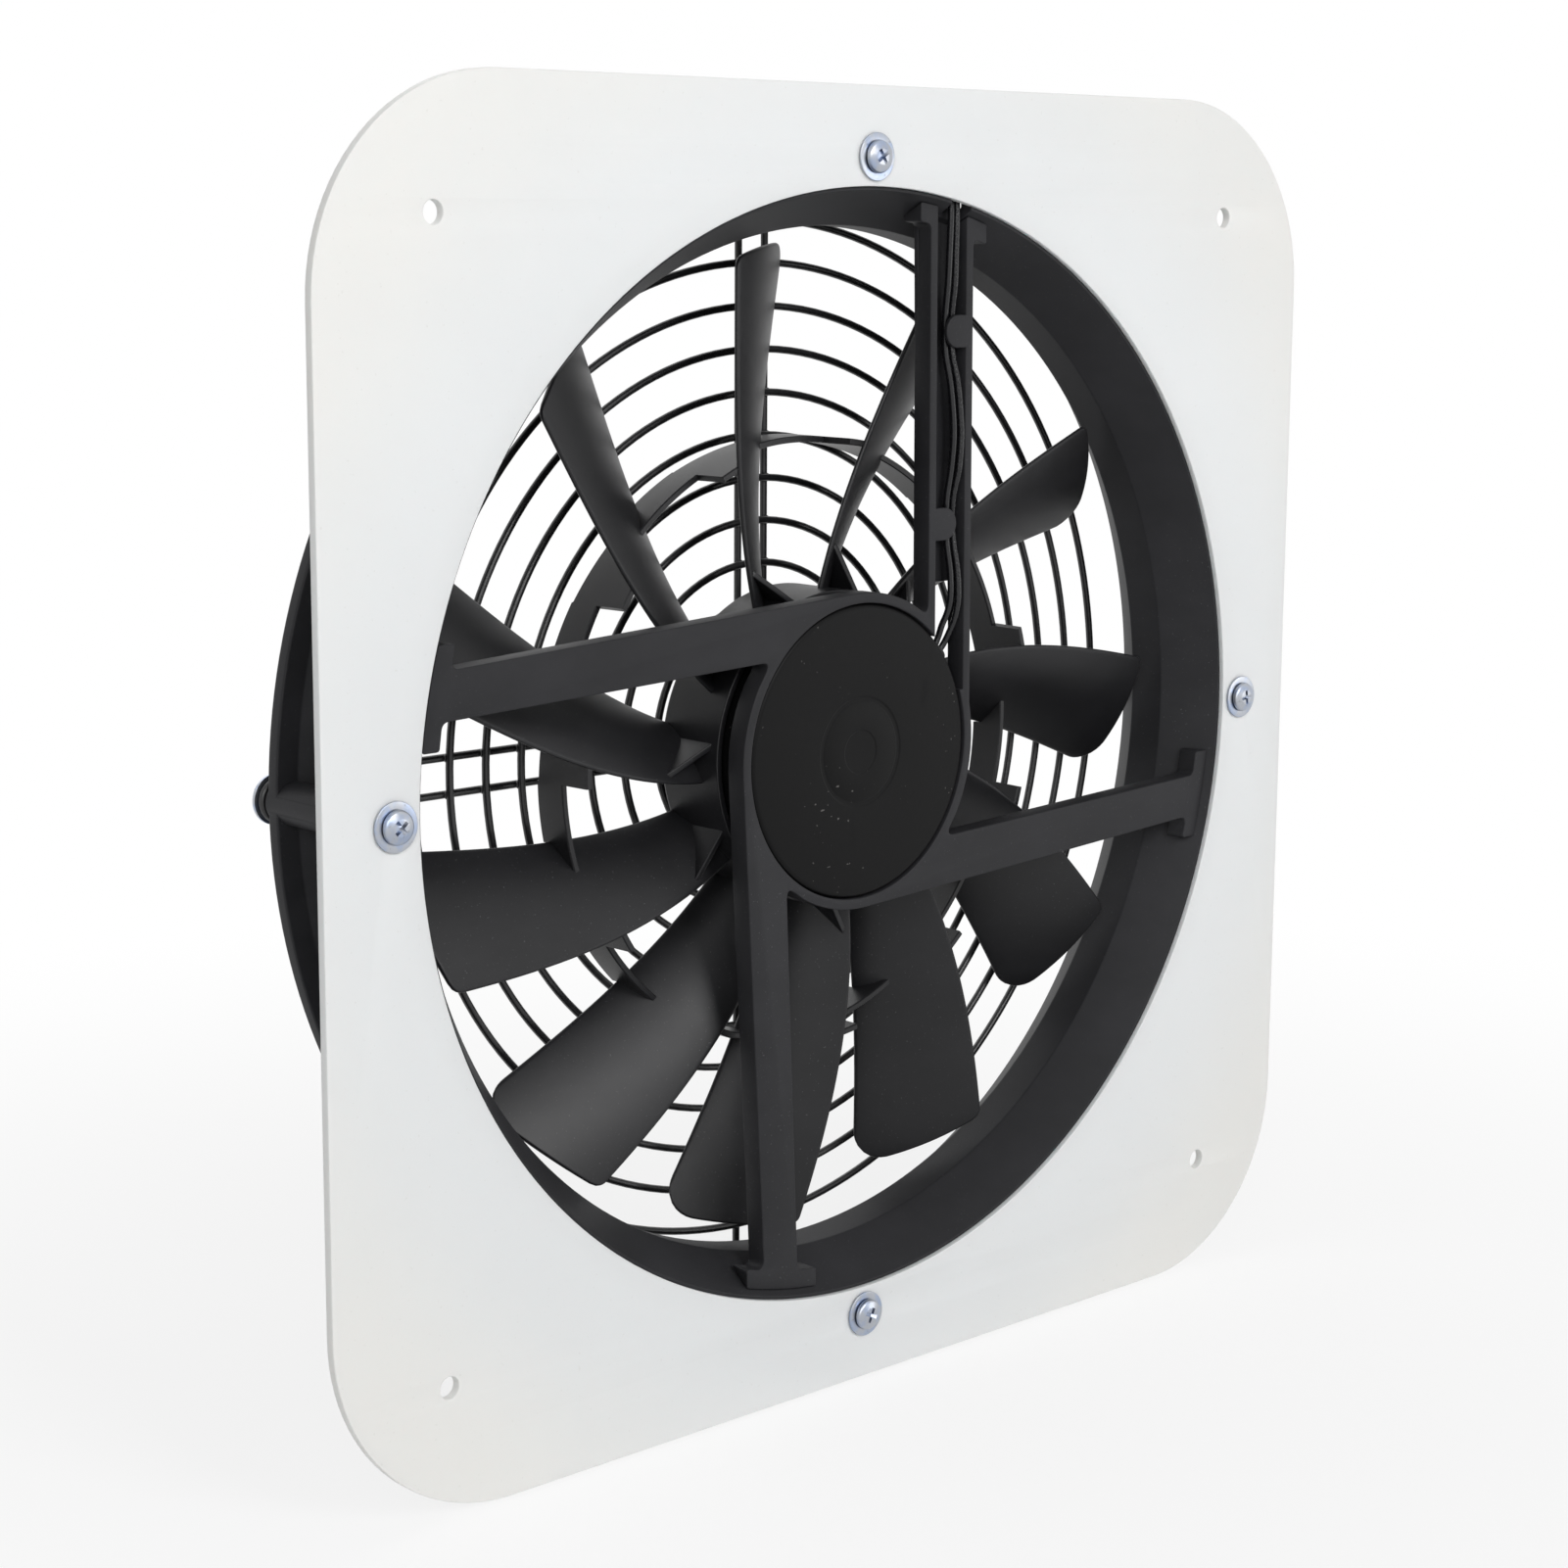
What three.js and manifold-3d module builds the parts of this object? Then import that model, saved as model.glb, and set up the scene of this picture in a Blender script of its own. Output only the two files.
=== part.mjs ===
// Window exhaust fan: a square plate for the window opening, a moulded shroud behind it,
// a four-armed spider that carries the motor, an eleven-blade rotor and a welded wire guard.
// Millimetres, +Z up, +Y towards the outdoors. The fan turns about the Y axis,
// and Y = 0 is the back face of the plate. Air is drawn in at -Y and leaves at +Y.
import * as THREE from 'three';
import { mergeVertices } from 'three/addons/utils/BufferGeometryUtils.js';
import Module from 'manifold-3d';

const wasm = await Module();
wasm.setup();

// ---- driving dimensions ------------------------------------------------------------------
const GAP = 0.3;                    // space left between pieces that rest on each other
const RUNNING_GAP = 0.6;            // space left beside what turns

// The rotor's tips set the throat round them, and the throat sets the plate and the bolts.
const TIP_RADIUS = 152;
const TIP_CLEARANCE = 5.2;
const THROAT_RADIUS = TIP_RADIUS + TIP_CLEARANCE;
const INLET_REACH = 11.3;           // how much wider the inlet and outlet are than the throat
const OPENING_RADIUS = THROAT_RADIUS + INLET_REACH;
const BOLT_INSET = 8.5;             // from the opening's edge to a bolt
const BOLT_CIRCLE_RADIUS = OPENING_RADIUS + BOLT_INSET;

const PANEL_MARGIN = 23;            // from a bolt to the plate's side edge
const PANEL_WIDTH = 2 * (BOLT_CIRCLE_RADIUS + PANEL_MARGIN);
const PANEL_HEIGHT = PANEL_WIDTH - 5;
const PANEL_CORNER = 60;
const PANEL_THICKNESS = 3;
const WALL_HOLE_RADIUS = 3.25;
const WALL_HOLE_INSET_X = 38.7;
const WALL_HOLE_INSET_Z = 37.4;
const WALL_HOLE_X = PANEL_WIDTH / 2 - WALL_HOLE_INSET_X;
const WALL_HOLE_Z = PANEL_HEIGHT / 2 - WALL_HOLE_INSET_Z;

const BOLT_RADIUS = 2.5;
const BOLT_HEAD_RADIUS = 4.9;
const BOLT_HEAD_HEIGHT = 2.2;
const BOLT_RECESS_REACH = 2.6;      // half length of each slot of the cross recess
const BOLT_RECESS_WIDTH = 1.1;
const BOLT_RECESS_DEPTH = 1.4;
const BOLT_TAIL = 1.2;              // thread that stands out behind the nut
const FRONT_WASHER_RADIUS = 7;
const FRONT_WASHER_THICKNESS = 0.7;
const REAR_WASHER_RADIUS = 7.2;
const REAR_WASHER_THICKNESS = 1;
const NUT_ACROSS_FLATS = 8;
const NUT_THICKNESS = 4;

const SHROUD_WALL = 2.7;
const RIM_PROUD = 1.5;              // how far the shroud's front rim reaches into the panel
const RIM_WALL = 0.8;
const SHOULDER_OVERLAP = 3.5;       // shoulder on the panel's back, past the opening
const SHOULDER_THICKNESS = 2.5;
const THROAT_START = 15;
const THROAT_LENGTH = 12.5;
const FLARE_LENGTH = 13.5;
const FLARE_RADIUS = THROAT_RADIUS + INLET_REACH;
const LIP_RISE = 14.3;
const LIP_RADIUS = FLARE_RADIUS + LIP_RISE;
// Corners of the rolled inner face between the flare and the lip, as shares of rise and length.
const LIP_CORNERS = [[0.36, 0.46], [0.72, 0.78]];
const LIP_LENGTH = 7;
const LIP_BAND = 5;
const BOSS_RADIUS = 6;
const BOSS_PAD = 1.15;              // seat of the guard behind the rear lip
const BOSS_WEB = 3;
const WEB_INSET = 0.5;              // from the shroud's inner face to the start of a web

// The motor sets the ring and the arms that hold it, and the hub that turns round it.
const MOTOR_RADIUS = 45;
const SPIDER_FRONT = 0.4;
const SPIDER_DEPTH = 7;
const SPIDER_RING_WALL = 3.2;
const ARM_OFFSET = MOTOR_RADIUS + 3.3;            // outer edge of an arm, measured beside the axis
const ARM_ROOT_WIDTH = 15.8;
const ARM_TIP_WIDTH = 13.8;
const ARM_TILT = 3.3;               // degrees, back towards the axis
const ARM_FILLET = 6;
const CHANNEL_OFFSET = MOTOR_RADIUS + 2.4;        // outer side of the wire channel's far wall
const CHANNEL_WIDTH = 18.6;
const CHANNEL_TILT = 0.5;
const CHANNEL_WALL = 3;
const CHANNEL_FLOOR = 1.5;
const CHANNEL_FLOOR_RADIUS = MOTOR_RADIUS + 11.5;    // where the floor starts, from the axis
const CHANNEL_TAIL = 2;             // how far the far wall runs down past the motor's centre
const CHANNEL_MOUTH = 15;           // height from which the ring is open between the walls
const NEAR_WALL_START = 30;
const FOOT_NEAR = 17.5;
const FOOT_LENGTH = 29;
const CHANNEL_FOOT_NEAR = 23;
const CHANNEL_FOOT_LENGTH = 28.8;
const FOOT_RADIUS = THROAT_RADIUS + 2.8;
const TAB_THICKNESS = 1.5;
const TAB_RADIUS = 5;
const UPPER_TAB_Z = 125.5;
const UPPER_TAB_REACH = 9.5;
const LOWER_TAB_Z = 67;
const LOWER_TAB_REACH = 9;

const MOTOR_FRONT = 0.8;
const MOTOR_LENGTH = 32.2;
const CAN_WALL = 1.6;
const CAN_FRONT_WALL = 2;
const CAN_EDGE = 1.5;
const END_PLATE_THICKNESS = 2;
const POCKET_WALL = 2.2;
const POCKET_LIP = 1.2;
const BEARING_RADIUS = 11;
const BEARING_WIDTH = 7;
const SHAFT_RADIUS = 4;
const SHAFT_TAIL_RADIUS = 3;
const MAGNET_THICKNESS = 6.9;
const MAGNET_SPAN = 140;            // degrees
const MAGNET_START = 6;
const MAGNET_LENGTH = 21;
const AIR_GAP = 1;
const CORE_TEETH = 12;
const CORE_START = 11.5;
const CORE_LENGTH = 8.5;
const CORE_HUB_RADIUS = 0.378 * MOTOR_RADIUS;
const TOOTH_WIDTH = 5;
const TOOTH_TIP = 2.2;
const SLOT_MOUTH = 2.4;
const COIL_HEIGHT = 2.2;
const COIL_RADIUS = 0.678 * MOTOR_RADIUS;
const COIL_BAR_WIDTH = 3;
const COMMUTATOR_RADIUS = 14.2;
const COMMUTATOR_LENGTH = 4.6;
const BRUSH_WIDTH = 4;
const BRUSH_HEIGHT = 3;
const BRUSH_LENGTH = 0.244 * MOTOR_RADIUS;
const BRUSH_BOX_WALL = 1;
const BRUSH_SPRING_RADIUS = 1.3;
const BRUSH_SPRING_LENGTH = 7;
const BRUSH_PLATE_THICKNESS = 1.5;

const EAR_RADIUS = 5;
const EAR_THICKNESS = 2;
const MOTOR_SCREW_CIRCLE = MOTOR_RADIUS + 4.5;
const MOTOR_SCREW_Z = 30;           // height of a screw in its arm's own view
const MOTOR_SCREW_RADIUS = 1.75;
const MOTOR_SCREW_HEAD_RADIUS = 3.3;
const MOTOR_SCREW_HEAD_HEIGHT = 2.1;
const MOTOR_SCREW_DEPTH = 5;        // thread inside the arm

const HUB_RADIUS = MOTOR_RADIUS + 3.3;
const HUB_WALL = 2;
const HUB_FRONT = 12.3;
const HUB_BACK = 42;
const HUB_EDGE = 5;
const HUB_WASHER_RADIUS = 8;
const HUB_WASHER_THICKNESS = 1;
const HUB_NUT_ACROSS_FLATS = 10;
const HUB_NUT_THICKNESS = 2.4;

const BLADE_COUNT = 11;
const BLADE_THICKNESS = 2.2;
const BLADE_CAMBER = 2;
const BLADE_REAR_CORNER = 12;
// A blade's two edges at three radii: angles in degrees clockwise of +X seen from the
// front, and depths behind the back of the panel.
const BLADE_ROOT = { radius: HUB_RADIUS + 7.7, leadAngle: -22.4, trailAngle: -3.5, leadY: 19, trailY: 37 };
const BLADE_MIDDLE = { radius: 105, leadAngle: -12.1, trailAngle: 4.7, leadY: 17, trailY: 39 };
const BLADE_TIP = { radius: TIP_RADIUS, leadAngle: -5.1, trailAngle: 9.8, leadY: 18.9, trailY: 41.9 };
const GUSSET_REACH = 63;            // radius at which the gusset leaves the leading edge
const GUSSET_FRONT = 15;
const GUSSET_ANGLE = -9.7;
const GUSSET_DEPTH = 11;
const GUSSET_THICKNESS = 1.8;
const BAND_RADIUS = 94;
const BAND_WALL = 2;
const BAND_FRONT = 28.7;
const BAND_WIDTH = 11.2;
const BAND_STEP_FRONT = 17.3;       // the band reaches further forward before each blade
const BAND_STEP_ANGLE = -18.1;

const GUARD_WIRE_RADIUS = 1.175;
const GUARD_RING_OUTER = THROAT_RADIUS + 1.9;
const GUARD_RING_PITCH = 13.16;
const GUARD_RING_COUNT = 11;
const GUARD_GAP_TO_LIP = 0.4;       // rings start this far behind the foremost they could
const STAY_WIRE_RADIUS = 1.15;
const STAY_SPACING = 10.8;
const STAY_WELD = 0.3;              // how deep a stay is pressed into the rings

const LEAD_RADIUS = 1;
const LEAD_NOTCH_WIDTH = 8.4;
const LEAD_NOTCH_DEPTH = 6.1;
const LEAD_PITCH = 2.4;
const LEAD_ENTRY_ANGLE = 36;        // degrees above +X, where the leads enter the motor
const LEAD_ENTRY_Y = 6.2;
const GROMMET_RADIUS = 3;
const GROMMET_BORE = 2.4;
const GROMMET_FLANGE = 1;
const CONNECTOR_WIDTH = 9.2;
const CONNECTOR_HEIGHT = 7;
const CONNECTOR_LENGTH = 20;
const CONNECTOR_FRONT = 10.6;
const CONNECTOR_X = CHANNEL_OFFSET - 9;
const CONNECTOR_Z = THROAT_RADIUS + 11.8;
const CRADLE_WALL = 1.4;
const CRADLE_INSET = 4;             // from the connector's front to the cradle's
const CRADLE_LENGTH = 12;
const LATCH_WIDTH = 3.2;
const LATCH_HEIGHT = 1.4;
const LATCH_INSET = 5;              // from either end of the connector

const ROUND_SEGMENTS = 56;          // facets round the large rings
const MOTOR_SEGMENTS = 36;
const SMALL_SEGMENTS = 12;

// ---- materials -----------------------------------------------------------------------------
function finish(colour, roughness, metalness = 0) {
  return new THREE.MeshStandardMaterial({ color: colour, roughness, metalness });
}
const milkyPlastic = finish(0xe9ecee, 0.42);
const blackPlastic = finish(0x26262a, 0.55);
const blackSteel = finish(0x17171a, 0.38, 0.4);
const blackWire = finish(0x101012, 0.34, 0.3);
const zincSteel = finish(0xb9c0c8, 0.3, 0.95);
const shaftSteel = finish(0x9a9da2, 0.28, 1);
const bearingSteel = finish(0x8f9398, 0.25, 1);
const ferrite = finish(0x3a3a3d, 0.7);
const laminations = finish(0x6b6e73, 0.5, 0.8);
const enamelCopper = finish(0x9c4f22, 0.4, 0.7);
const copper = finish(0xb36a3c, 0.35, 0.9);
const carbon = finish(0x2b2b2d, 0.8);
const phenolic = finish(0x3b2a1f, 0.6);
const rubber = finish(0x161616, 0.8);
const leadSheath = finish(0x15161a, 0.35);
const nylon = finish(0xd9d6cb, 0.5);

// ---- shape helpers ---------------------------------------------------------------------------
function bare(geometry) {
  geometry.deleteAttribute('normal');
  geometry.deleteAttribute('uv');
  return mergeVertices(geometry, 1e-4);
}

function solid(geometry) {
  const clean = bare(geometry);
  const mesh = new wasm.Mesh({
    numProp: 3,
    vertProperties: new Float32Array(clean.attributes.position.array),
    triVerts: new Uint32Array(clean.index.array),
  });
  return new wasm.Manifold(mesh);
}

function geometryOf(manifold) {
  const mesh = manifold.getMesh();
  const geometry = new THREE.BufferGeometry();
  geometry.setAttribute('position', new THREE.BufferAttribute(mesh.vertProperties, 3));
  geometry.setIndex(new THREE.BufferAttribute(mesh.triVerts, 1));
  geometry.computeVertexNormals();
  return geometry;
}

function joined(solids) {
  return solids.reduce((whole, piece) => whole.add(piece));
}

// A solid of revolution about Y from [radius, y] corners; any order of the corners will do.
function turned(corners, segments) {
  const points = corners.map(([radius, y]) => new THREE.Vector2(radius, y));
  if (THREE.ShapeUtils.area(points) < 0) {
    points.reverse();
  }
  points.push(points[0].clone());
  return new THREE.LatheGeometry(points, segments);
}

// A flat outline in X and Z, given its thickness along Y from frontY to backY.
function plateBetween(shape, frontY, backY, curveSegments = 12) {
  const depth = backY - frontY;
  const geometry = new THREE.ExtrudeGeometry(shape, { depth, bevelEnabled: false, curveSegments });
  geometry.rotateX(Math.PI / 2);
  geometry.translate(0, backY, 0);
  return geometry;
}

function blockBetween(low, high) {
  const size = high.map((value, axis) => value - low[axis]);
  const geometry = new THREE.BoxGeometry(...size);
  geometry.translate(...low.map((value, axis) => value + size[axis] / 2));
  return geometry;
}

function polygon(corners) {
  return new THREE.Shape(corners.map(([x, z]) => new THREE.Vector2(x, z)));
}

function rodAlongY(radius, frontY, backY, x = 0, z = 0, segments = SMALL_SEGMENTS) {
  const geometry = new THREE.CylinderGeometry(radius, radius, backY - frontY, segments);
  geometry.translate(x, (frontY + backY) / 2, z);
  return geometry;
}

function tubeAlong(curve, radius, sides, steps) {
  const corners = [];
  for (let side = 0; side < sides; side += 1) {
    const angle = (2 * Math.PI * side) / sides;
    corners.push(new THREE.Vector2(radius * Math.cos(angle), radius * Math.sin(angle)));
  }
  const section = new THREE.Shape(corners);
  return new THREE.ExtrudeGeometry(section, { steps, extrudePath: curve, bevelEnabled: false });
}

// A closed body from two facing grids of points, with walls along their four edges.
function sheetSolid(faceA, faceB) {
  const rows = faceA.length;
  const columns = faceA[0].length;
  const positions = [...faceA.flat(), ...faceB.flat()].flat();
  const at = (face, row, column) => face * rows * columns + row * columns + column;
  const index = [];
  const quad = (a, b, c, d) => index.push(a, b, c, a, c, d);
  for (let row = 0; row + 1 < rows; row += 1) {
    for (let column = 0; column + 1 < columns; column += 1) {
      quad(at(0, row, column), at(0, row, column + 1), at(0, row + 1, column + 1), at(0, row + 1, column));
      quad(at(1, row, column), at(1, row + 1, column), at(1, row + 1, column + 1), at(1, row, column + 1));
    }
    const last = columns - 1;
    quad(at(0, row, 0), at(0, row + 1, 0), at(1, row + 1, 0), at(1, row, 0));
    quad(at(0, row + 1, last), at(0, row, last), at(1, row, last), at(1, row + 1, last));
  }
  for (let column = 0; column + 1 < columns; column += 1) {
    const last = rows - 1;
    quad(at(0, 0, column + 1), at(0, 0, column), at(1, 0, column), at(1, 0, column + 1));
    quad(at(0, last, column), at(0, last, column + 1), at(1, last, column + 1), at(1, last, column));
  }
  const geometry = new THREE.BufferGeometry();
  geometry.setAttribute('position', new THREE.Float32BufferAttribute(positions, 3));
  geometry.setIndex(signedVolume(positions, index) < 0 ? index.reverse() : index);
  return geometry;
}

function signedVolume(positions, index) {
  const corner = (number) => new THREE.Vector3().fromArray(positions, 3 * index[number]);
  let volume = 0;
  for (let first = 0; first < index.length; first += 3) {
    volume += corner(first).dot(corner(first + 1).cross(corner(first + 2))) / 6;
  }
  return volume;
}

function quarterTurned(geometry, quarters) {
  return geometry.rotateY((quarters * Math.PI) / 2);
}

const fan = new THREE.Group();

function place(name, shape, material, parent = fan) {
  const mesh = new THREE.Mesh(shape.isBufferGeometry ? shape : geometryOf(shape), material);
  mesh.name = name;
  parent.add(mesh);
  return mesh;
}

// The four fixing points, clockwise from the top as seen from the front.
const SIDES = ['top', 'right', 'bottom', 'left'];
const sideGroups = SIDES.map((side, number) => {
  const group = new THREE.Group();
  group.rotation.y = (number * Math.PI) / 2;
  fan.add(group);
  return group;
});

// ---- mounting panel --------------------------------------------------------------------------
const panelFront = -PANEL_THICKNESS;
const boltHoleRadius = BOLT_RADIUS + GAP;

function panelOutline() {
  const x = PANEL_WIDTH / 2;
  const z = PANEL_HEIGHT / 2;
  const r = PANEL_CORNER;
  const quarter = Math.PI / 2;
  const shape = new THREE.Shape();
  shape.absarc(x - r, z - r, r, 0, quarter);
  shape.absarc(r - x, z - r, r, quarter, 2 * quarter);
  shape.absarc(r - x, r - z, r, 2 * quarter, 3 * quarter);
  shape.absarc(x - r, r - z, r, 3 * quarter, 4 * quarter);
  return shape;
}

function mountingPanel() {
  let panel = solid(plateBetween(panelOutline(), panelFront, 0, 10));
  const cutFront = panelFront - 1;
  panel = panel.subtract(solid(rodAlongY(OPENING_RADIUS, cutFront, 1, 0, 0, ROUND_SEGMENTS)));
  for (const signX of [-1, 1]) {
    for (const signZ of [-1, 1]) {
      const x = signX * WALL_HOLE_X;
      const z = signZ * WALL_HOLE_Z;
      panel = panel.subtract(solid(rodAlongY(WALL_HOLE_RADIUS, cutFront, 1, x, z)));
    }
  }
  for (let quarters = 0; quarters < 4; quarters += 1) {
    const hole = rodAlongY(boltHoleRadius, cutFront, 1, 0, BOLT_CIRCLE_RADIUS);
    panel = panel.subtract(solid(quarterTurned(hole, quarters)));
  }
  return panel;
}
place('mounting_panel', mountingPanel(), milkyPlastic);

// ---- shroud ring -----------------------------------------------------------------------------
const rimFront = -RIM_PROUD;
const rimOuter = OPENING_RADIUS - GAP;
const rimInner = rimOuter - RIM_WALL;
const shoulderRadius = OPENING_RADIUS + SHOULDER_OVERLAP;
const throatEnd = THROAT_START + THROAT_LENGTH;
const flareEnd = throatEnd + FLARE_LENGTH;
const lipBack = flareEnd + LIP_LENGTH;
const lipFront = lipBack - LIP_BAND;
const throatOuter = THROAT_RADIUS + SHROUD_WALL;
const coneSlope = (rimInner - THROAT_RADIUS) / (THROAT_START - rimFront);
const flareSlope = (FLARE_RADIUS - THROAT_RADIUS) / FLARE_LENGTH;

function coneRadiusAt(y) {
  return rimInner - coneSlope * (y - rimFront);
}

function lipCorner([riseShare, lengthShare]) {
  return [FLARE_RADIUS + riseShare * LIP_RISE, flareEnd + lengthShare * LIP_LENGTH];
}

function shroudProfile() {
  const flareShift = SHROUD_WALL / Math.hypot(1, flareSlope);
  return [
    [rimInner, rimFront],
    [rimOuter, rimFront],
    [rimOuter, GAP],
    [shoulderRadius, GAP],
    [shoulderRadius, GAP + SHOULDER_THICKNESS],
    [coneRadiusAt(GAP + SHOULDER_THICKNESS) + 1.2 * SHROUD_WALL, GAP + SHOULDER_THICKNESS],
    [throatOuter, THROAT_START + 1],
    [throatOuter, throatEnd - flareSlope * flareShift],
    [FLARE_RADIUS + flareShift, flareEnd - flareSlope * flareShift],
    [FLARE_RADIUS + 0.55 * LIP_RISE, lipFront - 0.6],
    [LIP_RADIUS, lipFront],
    [LIP_RADIUS, lipBack],
    ...LIP_CORNERS.map(lipCorner).reverse(),
    [FLARE_RADIUS, flareEnd],
    [THROAT_RADIUS, throatEnd],
    [THROAT_RADIUS, THROAT_START],
  ];
}

const padBack = lipBack + BOSS_PAD;

function bossWithWeb() {
  const boss = solid(rodAlongY(BOSS_RADIUS, GAP, padBack, 0, BOLT_CIRCLE_RADIUS));
  const webLow = [-BOSS_WEB / 2, 2 * GAP, throatOuter - SHROUD_WALL / 2];
  const webHigh = [BOSS_WEB / 2, lipBack - 1, BOLT_CIRCLE_RADIUS];
  const [lipCornerRadius, lipCornerY] = lipCorner(LIP_CORNERS[0]);
  const flareCut = turned([
    [0, THROAT_START],
    [THROAT_RADIUS + WEB_INSET, THROAT_START],
    [THROAT_RADIUS + WEB_INSET, throatEnd],
    [FLARE_RADIUS + WEB_INSET, flareEnd],
    [lipCornerRadius + WEB_INSET, lipCornerY],
    [FLARE_RADIUS + 0.6 * LIP_RISE, lipBack],
    [0, lipBack],
  ], ROUND_SEGMENTS);
  const frontCut = turned([
    [0, -1],
    [rimOuter, -1],
    [coneRadiusAt(THROAT_START) + WEB_INSET, THROAT_START + 0.1],
    [0, THROAT_START + 0.1],
  ], ROUND_SEGMENTS);
  const web = solid(blockBetween(webLow, webHigh));
  return boss.add(web.subtract(solid(flareCut)).subtract(solid(frontCut)));
}

// Two ribs, a floor and two cheeks outside the throat that hold the lead connector.
const connectorBase = CONNECTOR_Z - CONNECTOR_HEIGHT / 2;
function connectorCradle() {
  const halfInside = CONNECTOR_WIDTH / 2 + GAP;
  const floorTop = connectorBase - GAP;
  const floorBase = floorTop - CRADLE_WALL;
  const front = CONNECTOR_FRONT + CRADLE_INSET;
  const back = front + CRADLE_LENGTH;
  const pieces = [];
  const left = CONNECTOR_X - halfInside - CRADLE_WALL;
  const right = CONNECTOR_X + halfInside + CRADLE_WALL;
  pieces.push(blockBetween([left, front, floorBase], [right, back, floorTop]));
  const cheekTop = CONNECTOR_Z + CONNECTOR_HEIGHT / 4;
  pieces.push(blockBetween([left, front, floorBase], [left + CRADLE_WALL, back, cheekTop]));
  pieces.push(blockBetween([right - CRADLE_WALL, front, floorBase], [right, back, cheekTop]));
  for (const ribX of [left, right - CRADLE_WALL]) {
    const ribFoot = Math.sqrt((THROAT_RADIUS + 1) ** 2 - (ribX + CRADLE_WALL / 2) ** 2);
    const ribLow = [ribX, front, ribFoot];
    pieces.push(blockBetween(ribLow, [ribX + CRADLE_WALL, throatEnd - 1, floorBase + 0.5]));
  }
  return joined(pieces.map(solid));
}

function shroudRing() {
  let shroud = solid(turned(shroudProfile(), ROUND_SEGMENTS)).add(connectorCradle());
  for (let quarters = 0; quarters < 4; quarters += 1) {
    const bore = rodAlongY(boltHoleRadius, -1, padBack + 1, 0, BOLT_CIRCLE_RADIUS);
    shroud = shroud.add(bossWithWeb().rotate([0, 90 * quarters, 0]));
    shroud = shroud.subtract(solid(quarterTurned(bore, quarters)));
  }
  const notchLow = [CONNECTOR_X - LEAD_NOTCH_WIDTH / 2, rimFront - 1, THROAT_RADIUS - 4];
  const notchHigh = [CONNECTOR_X + LEAD_NOTCH_WIDTH / 2, rimFront + LEAD_NOTCH_DEPTH, shoulderRadius + 2];
  return shroud.subtract(solid(blockBetween(notchLow, notchHigh)));
}
place('shroud_ring', shroudRing(), blackPlastic);

// ---- motor spider ----------------------------------------------------------------------------
const spiderBack = SPIDER_FRONT + SPIDER_DEPTH;
const spiderBore = MOTOR_RADIUS + GAP;
const spiderRingRadius = spiderBore + SPIDER_RING_WALL;
const armSlope = Math.tan(THREE.MathUtils.degToRad(ARM_TILT));
const armReach = FOOT_RADIUS + 2;
const footTop = coneRadiusAt(0) + 4;

// In an arm's own view the arm runs up along Z and lies on the +X side of the axis.
function armOuterAt(z) {
  return ARM_OFFSET - armSlope * z;
}

function armInnerAt(z) {
  return armOuterAt(z) - ARM_ROOT_WIDTH + ((ARM_ROOT_WIDTH - ARM_TIP_WIDTH) * z) / armReach;
}

function armShape() {
  const rootZ = 0;
  const filletZ = Math.sqrt(spiderRingRadius ** 2 - armInnerAt(rootZ) ** 2);
  const shape = polygon([
    [armInnerAt(rootZ), rootZ],
    [armOuterAt(rootZ), rootZ],
    [armOuterAt(armReach), armReach],
    [armInnerAt(armReach), armReach],
    [armInnerAt(filletZ + ARM_FILLET), filletZ + ARM_FILLET],
    [armInnerAt(filletZ) - 0.3 * ARM_FILLET, filletZ + 0.3 * ARM_FILLET],
    [armInnerAt(filletZ) - ARM_FILLET, filletZ],
  ]);
  return shape;
}

function footRing() {
  return solid(turned([
    [FOOT_RADIUS, SPIDER_FRONT],
    [shoulderRadius, SPIDER_FRONT],
    [shoulderRadius, spiderBack],
    [FOOT_RADIUS, spiderBack],
  ], ROUND_SEGMENTS));
}

// All that fits inside the shroud's inlet cone; the feet end on it.
function inletPlug() {
  return solid(turned([
    [0, SPIDER_FRONT],
    [coneRadiusAt(SPIDER_FRONT) - GAP, SPIDER_FRONT],
    [coneRadiusAt(spiderBack) - GAP, spiderBack],
    [0, spiderBack],
  ], ROUND_SEGMENTS));
}

function foot(near, length) {
  const low = [near, SPIDER_FRONT - 1, 0];
  const high = [near + length, spiderBack + 1, footTop];
  return footRing().intersect(solid(blockBetween(low, high)));
}

const channelSlope = Math.tan(THREE.MathUtils.degToRad(CHANNEL_TILT));

function channelSideAt(z) {
  return CHANNEL_OFFSET - channelSlope * z;
}

// A strip of the channel between two distances in from its far side.
function channelStrip(fromSide, toSide, lowZ, highZ, frontY, backY) {
  return solid(plateBetween(polygon([
    [channelSideAt(lowZ) - toSide, lowZ],
    [channelSideAt(lowZ) - fromSide, lowZ],
    [channelSideAt(highZ) - fromSide, highZ],
    [channelSideAt(highZ) - toSide, highZ],
  ]), frontY, backY));
}

function holdingTab(rootX, reach, z) {
  const tipX = rootX + reach;
  const centreX = tipX - Math.sign(reach) * TAB_RADIUS;
  const back = SPIDER_FRONT + TAB_THICKNESS;
  const tip = solid(rodAlongY(TAB_RADIUS, SPIDER_FRONT, back, centreX, z));
  const low = [Math.min(rootX, centreX), SPIDER_FRONT, z - TAB_RADIUS];
  const high = [Math.max(rootX, centreX), back, z + TAB_RADIUS];
  return tip.add(solid(blockBetween(low, high)));
}

const motorScrewX = Math.sqrt(MOTOR_SCREW_CIRCLE ** 2 - MOTOR_SCREW_Z ** 2);
const screwBack = spiderBack + GAP + EAR_THICKNESS;
const SCREWED_ARMS = [1, 2, 3];     // quarter turns of the arms that hold the motor

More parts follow.
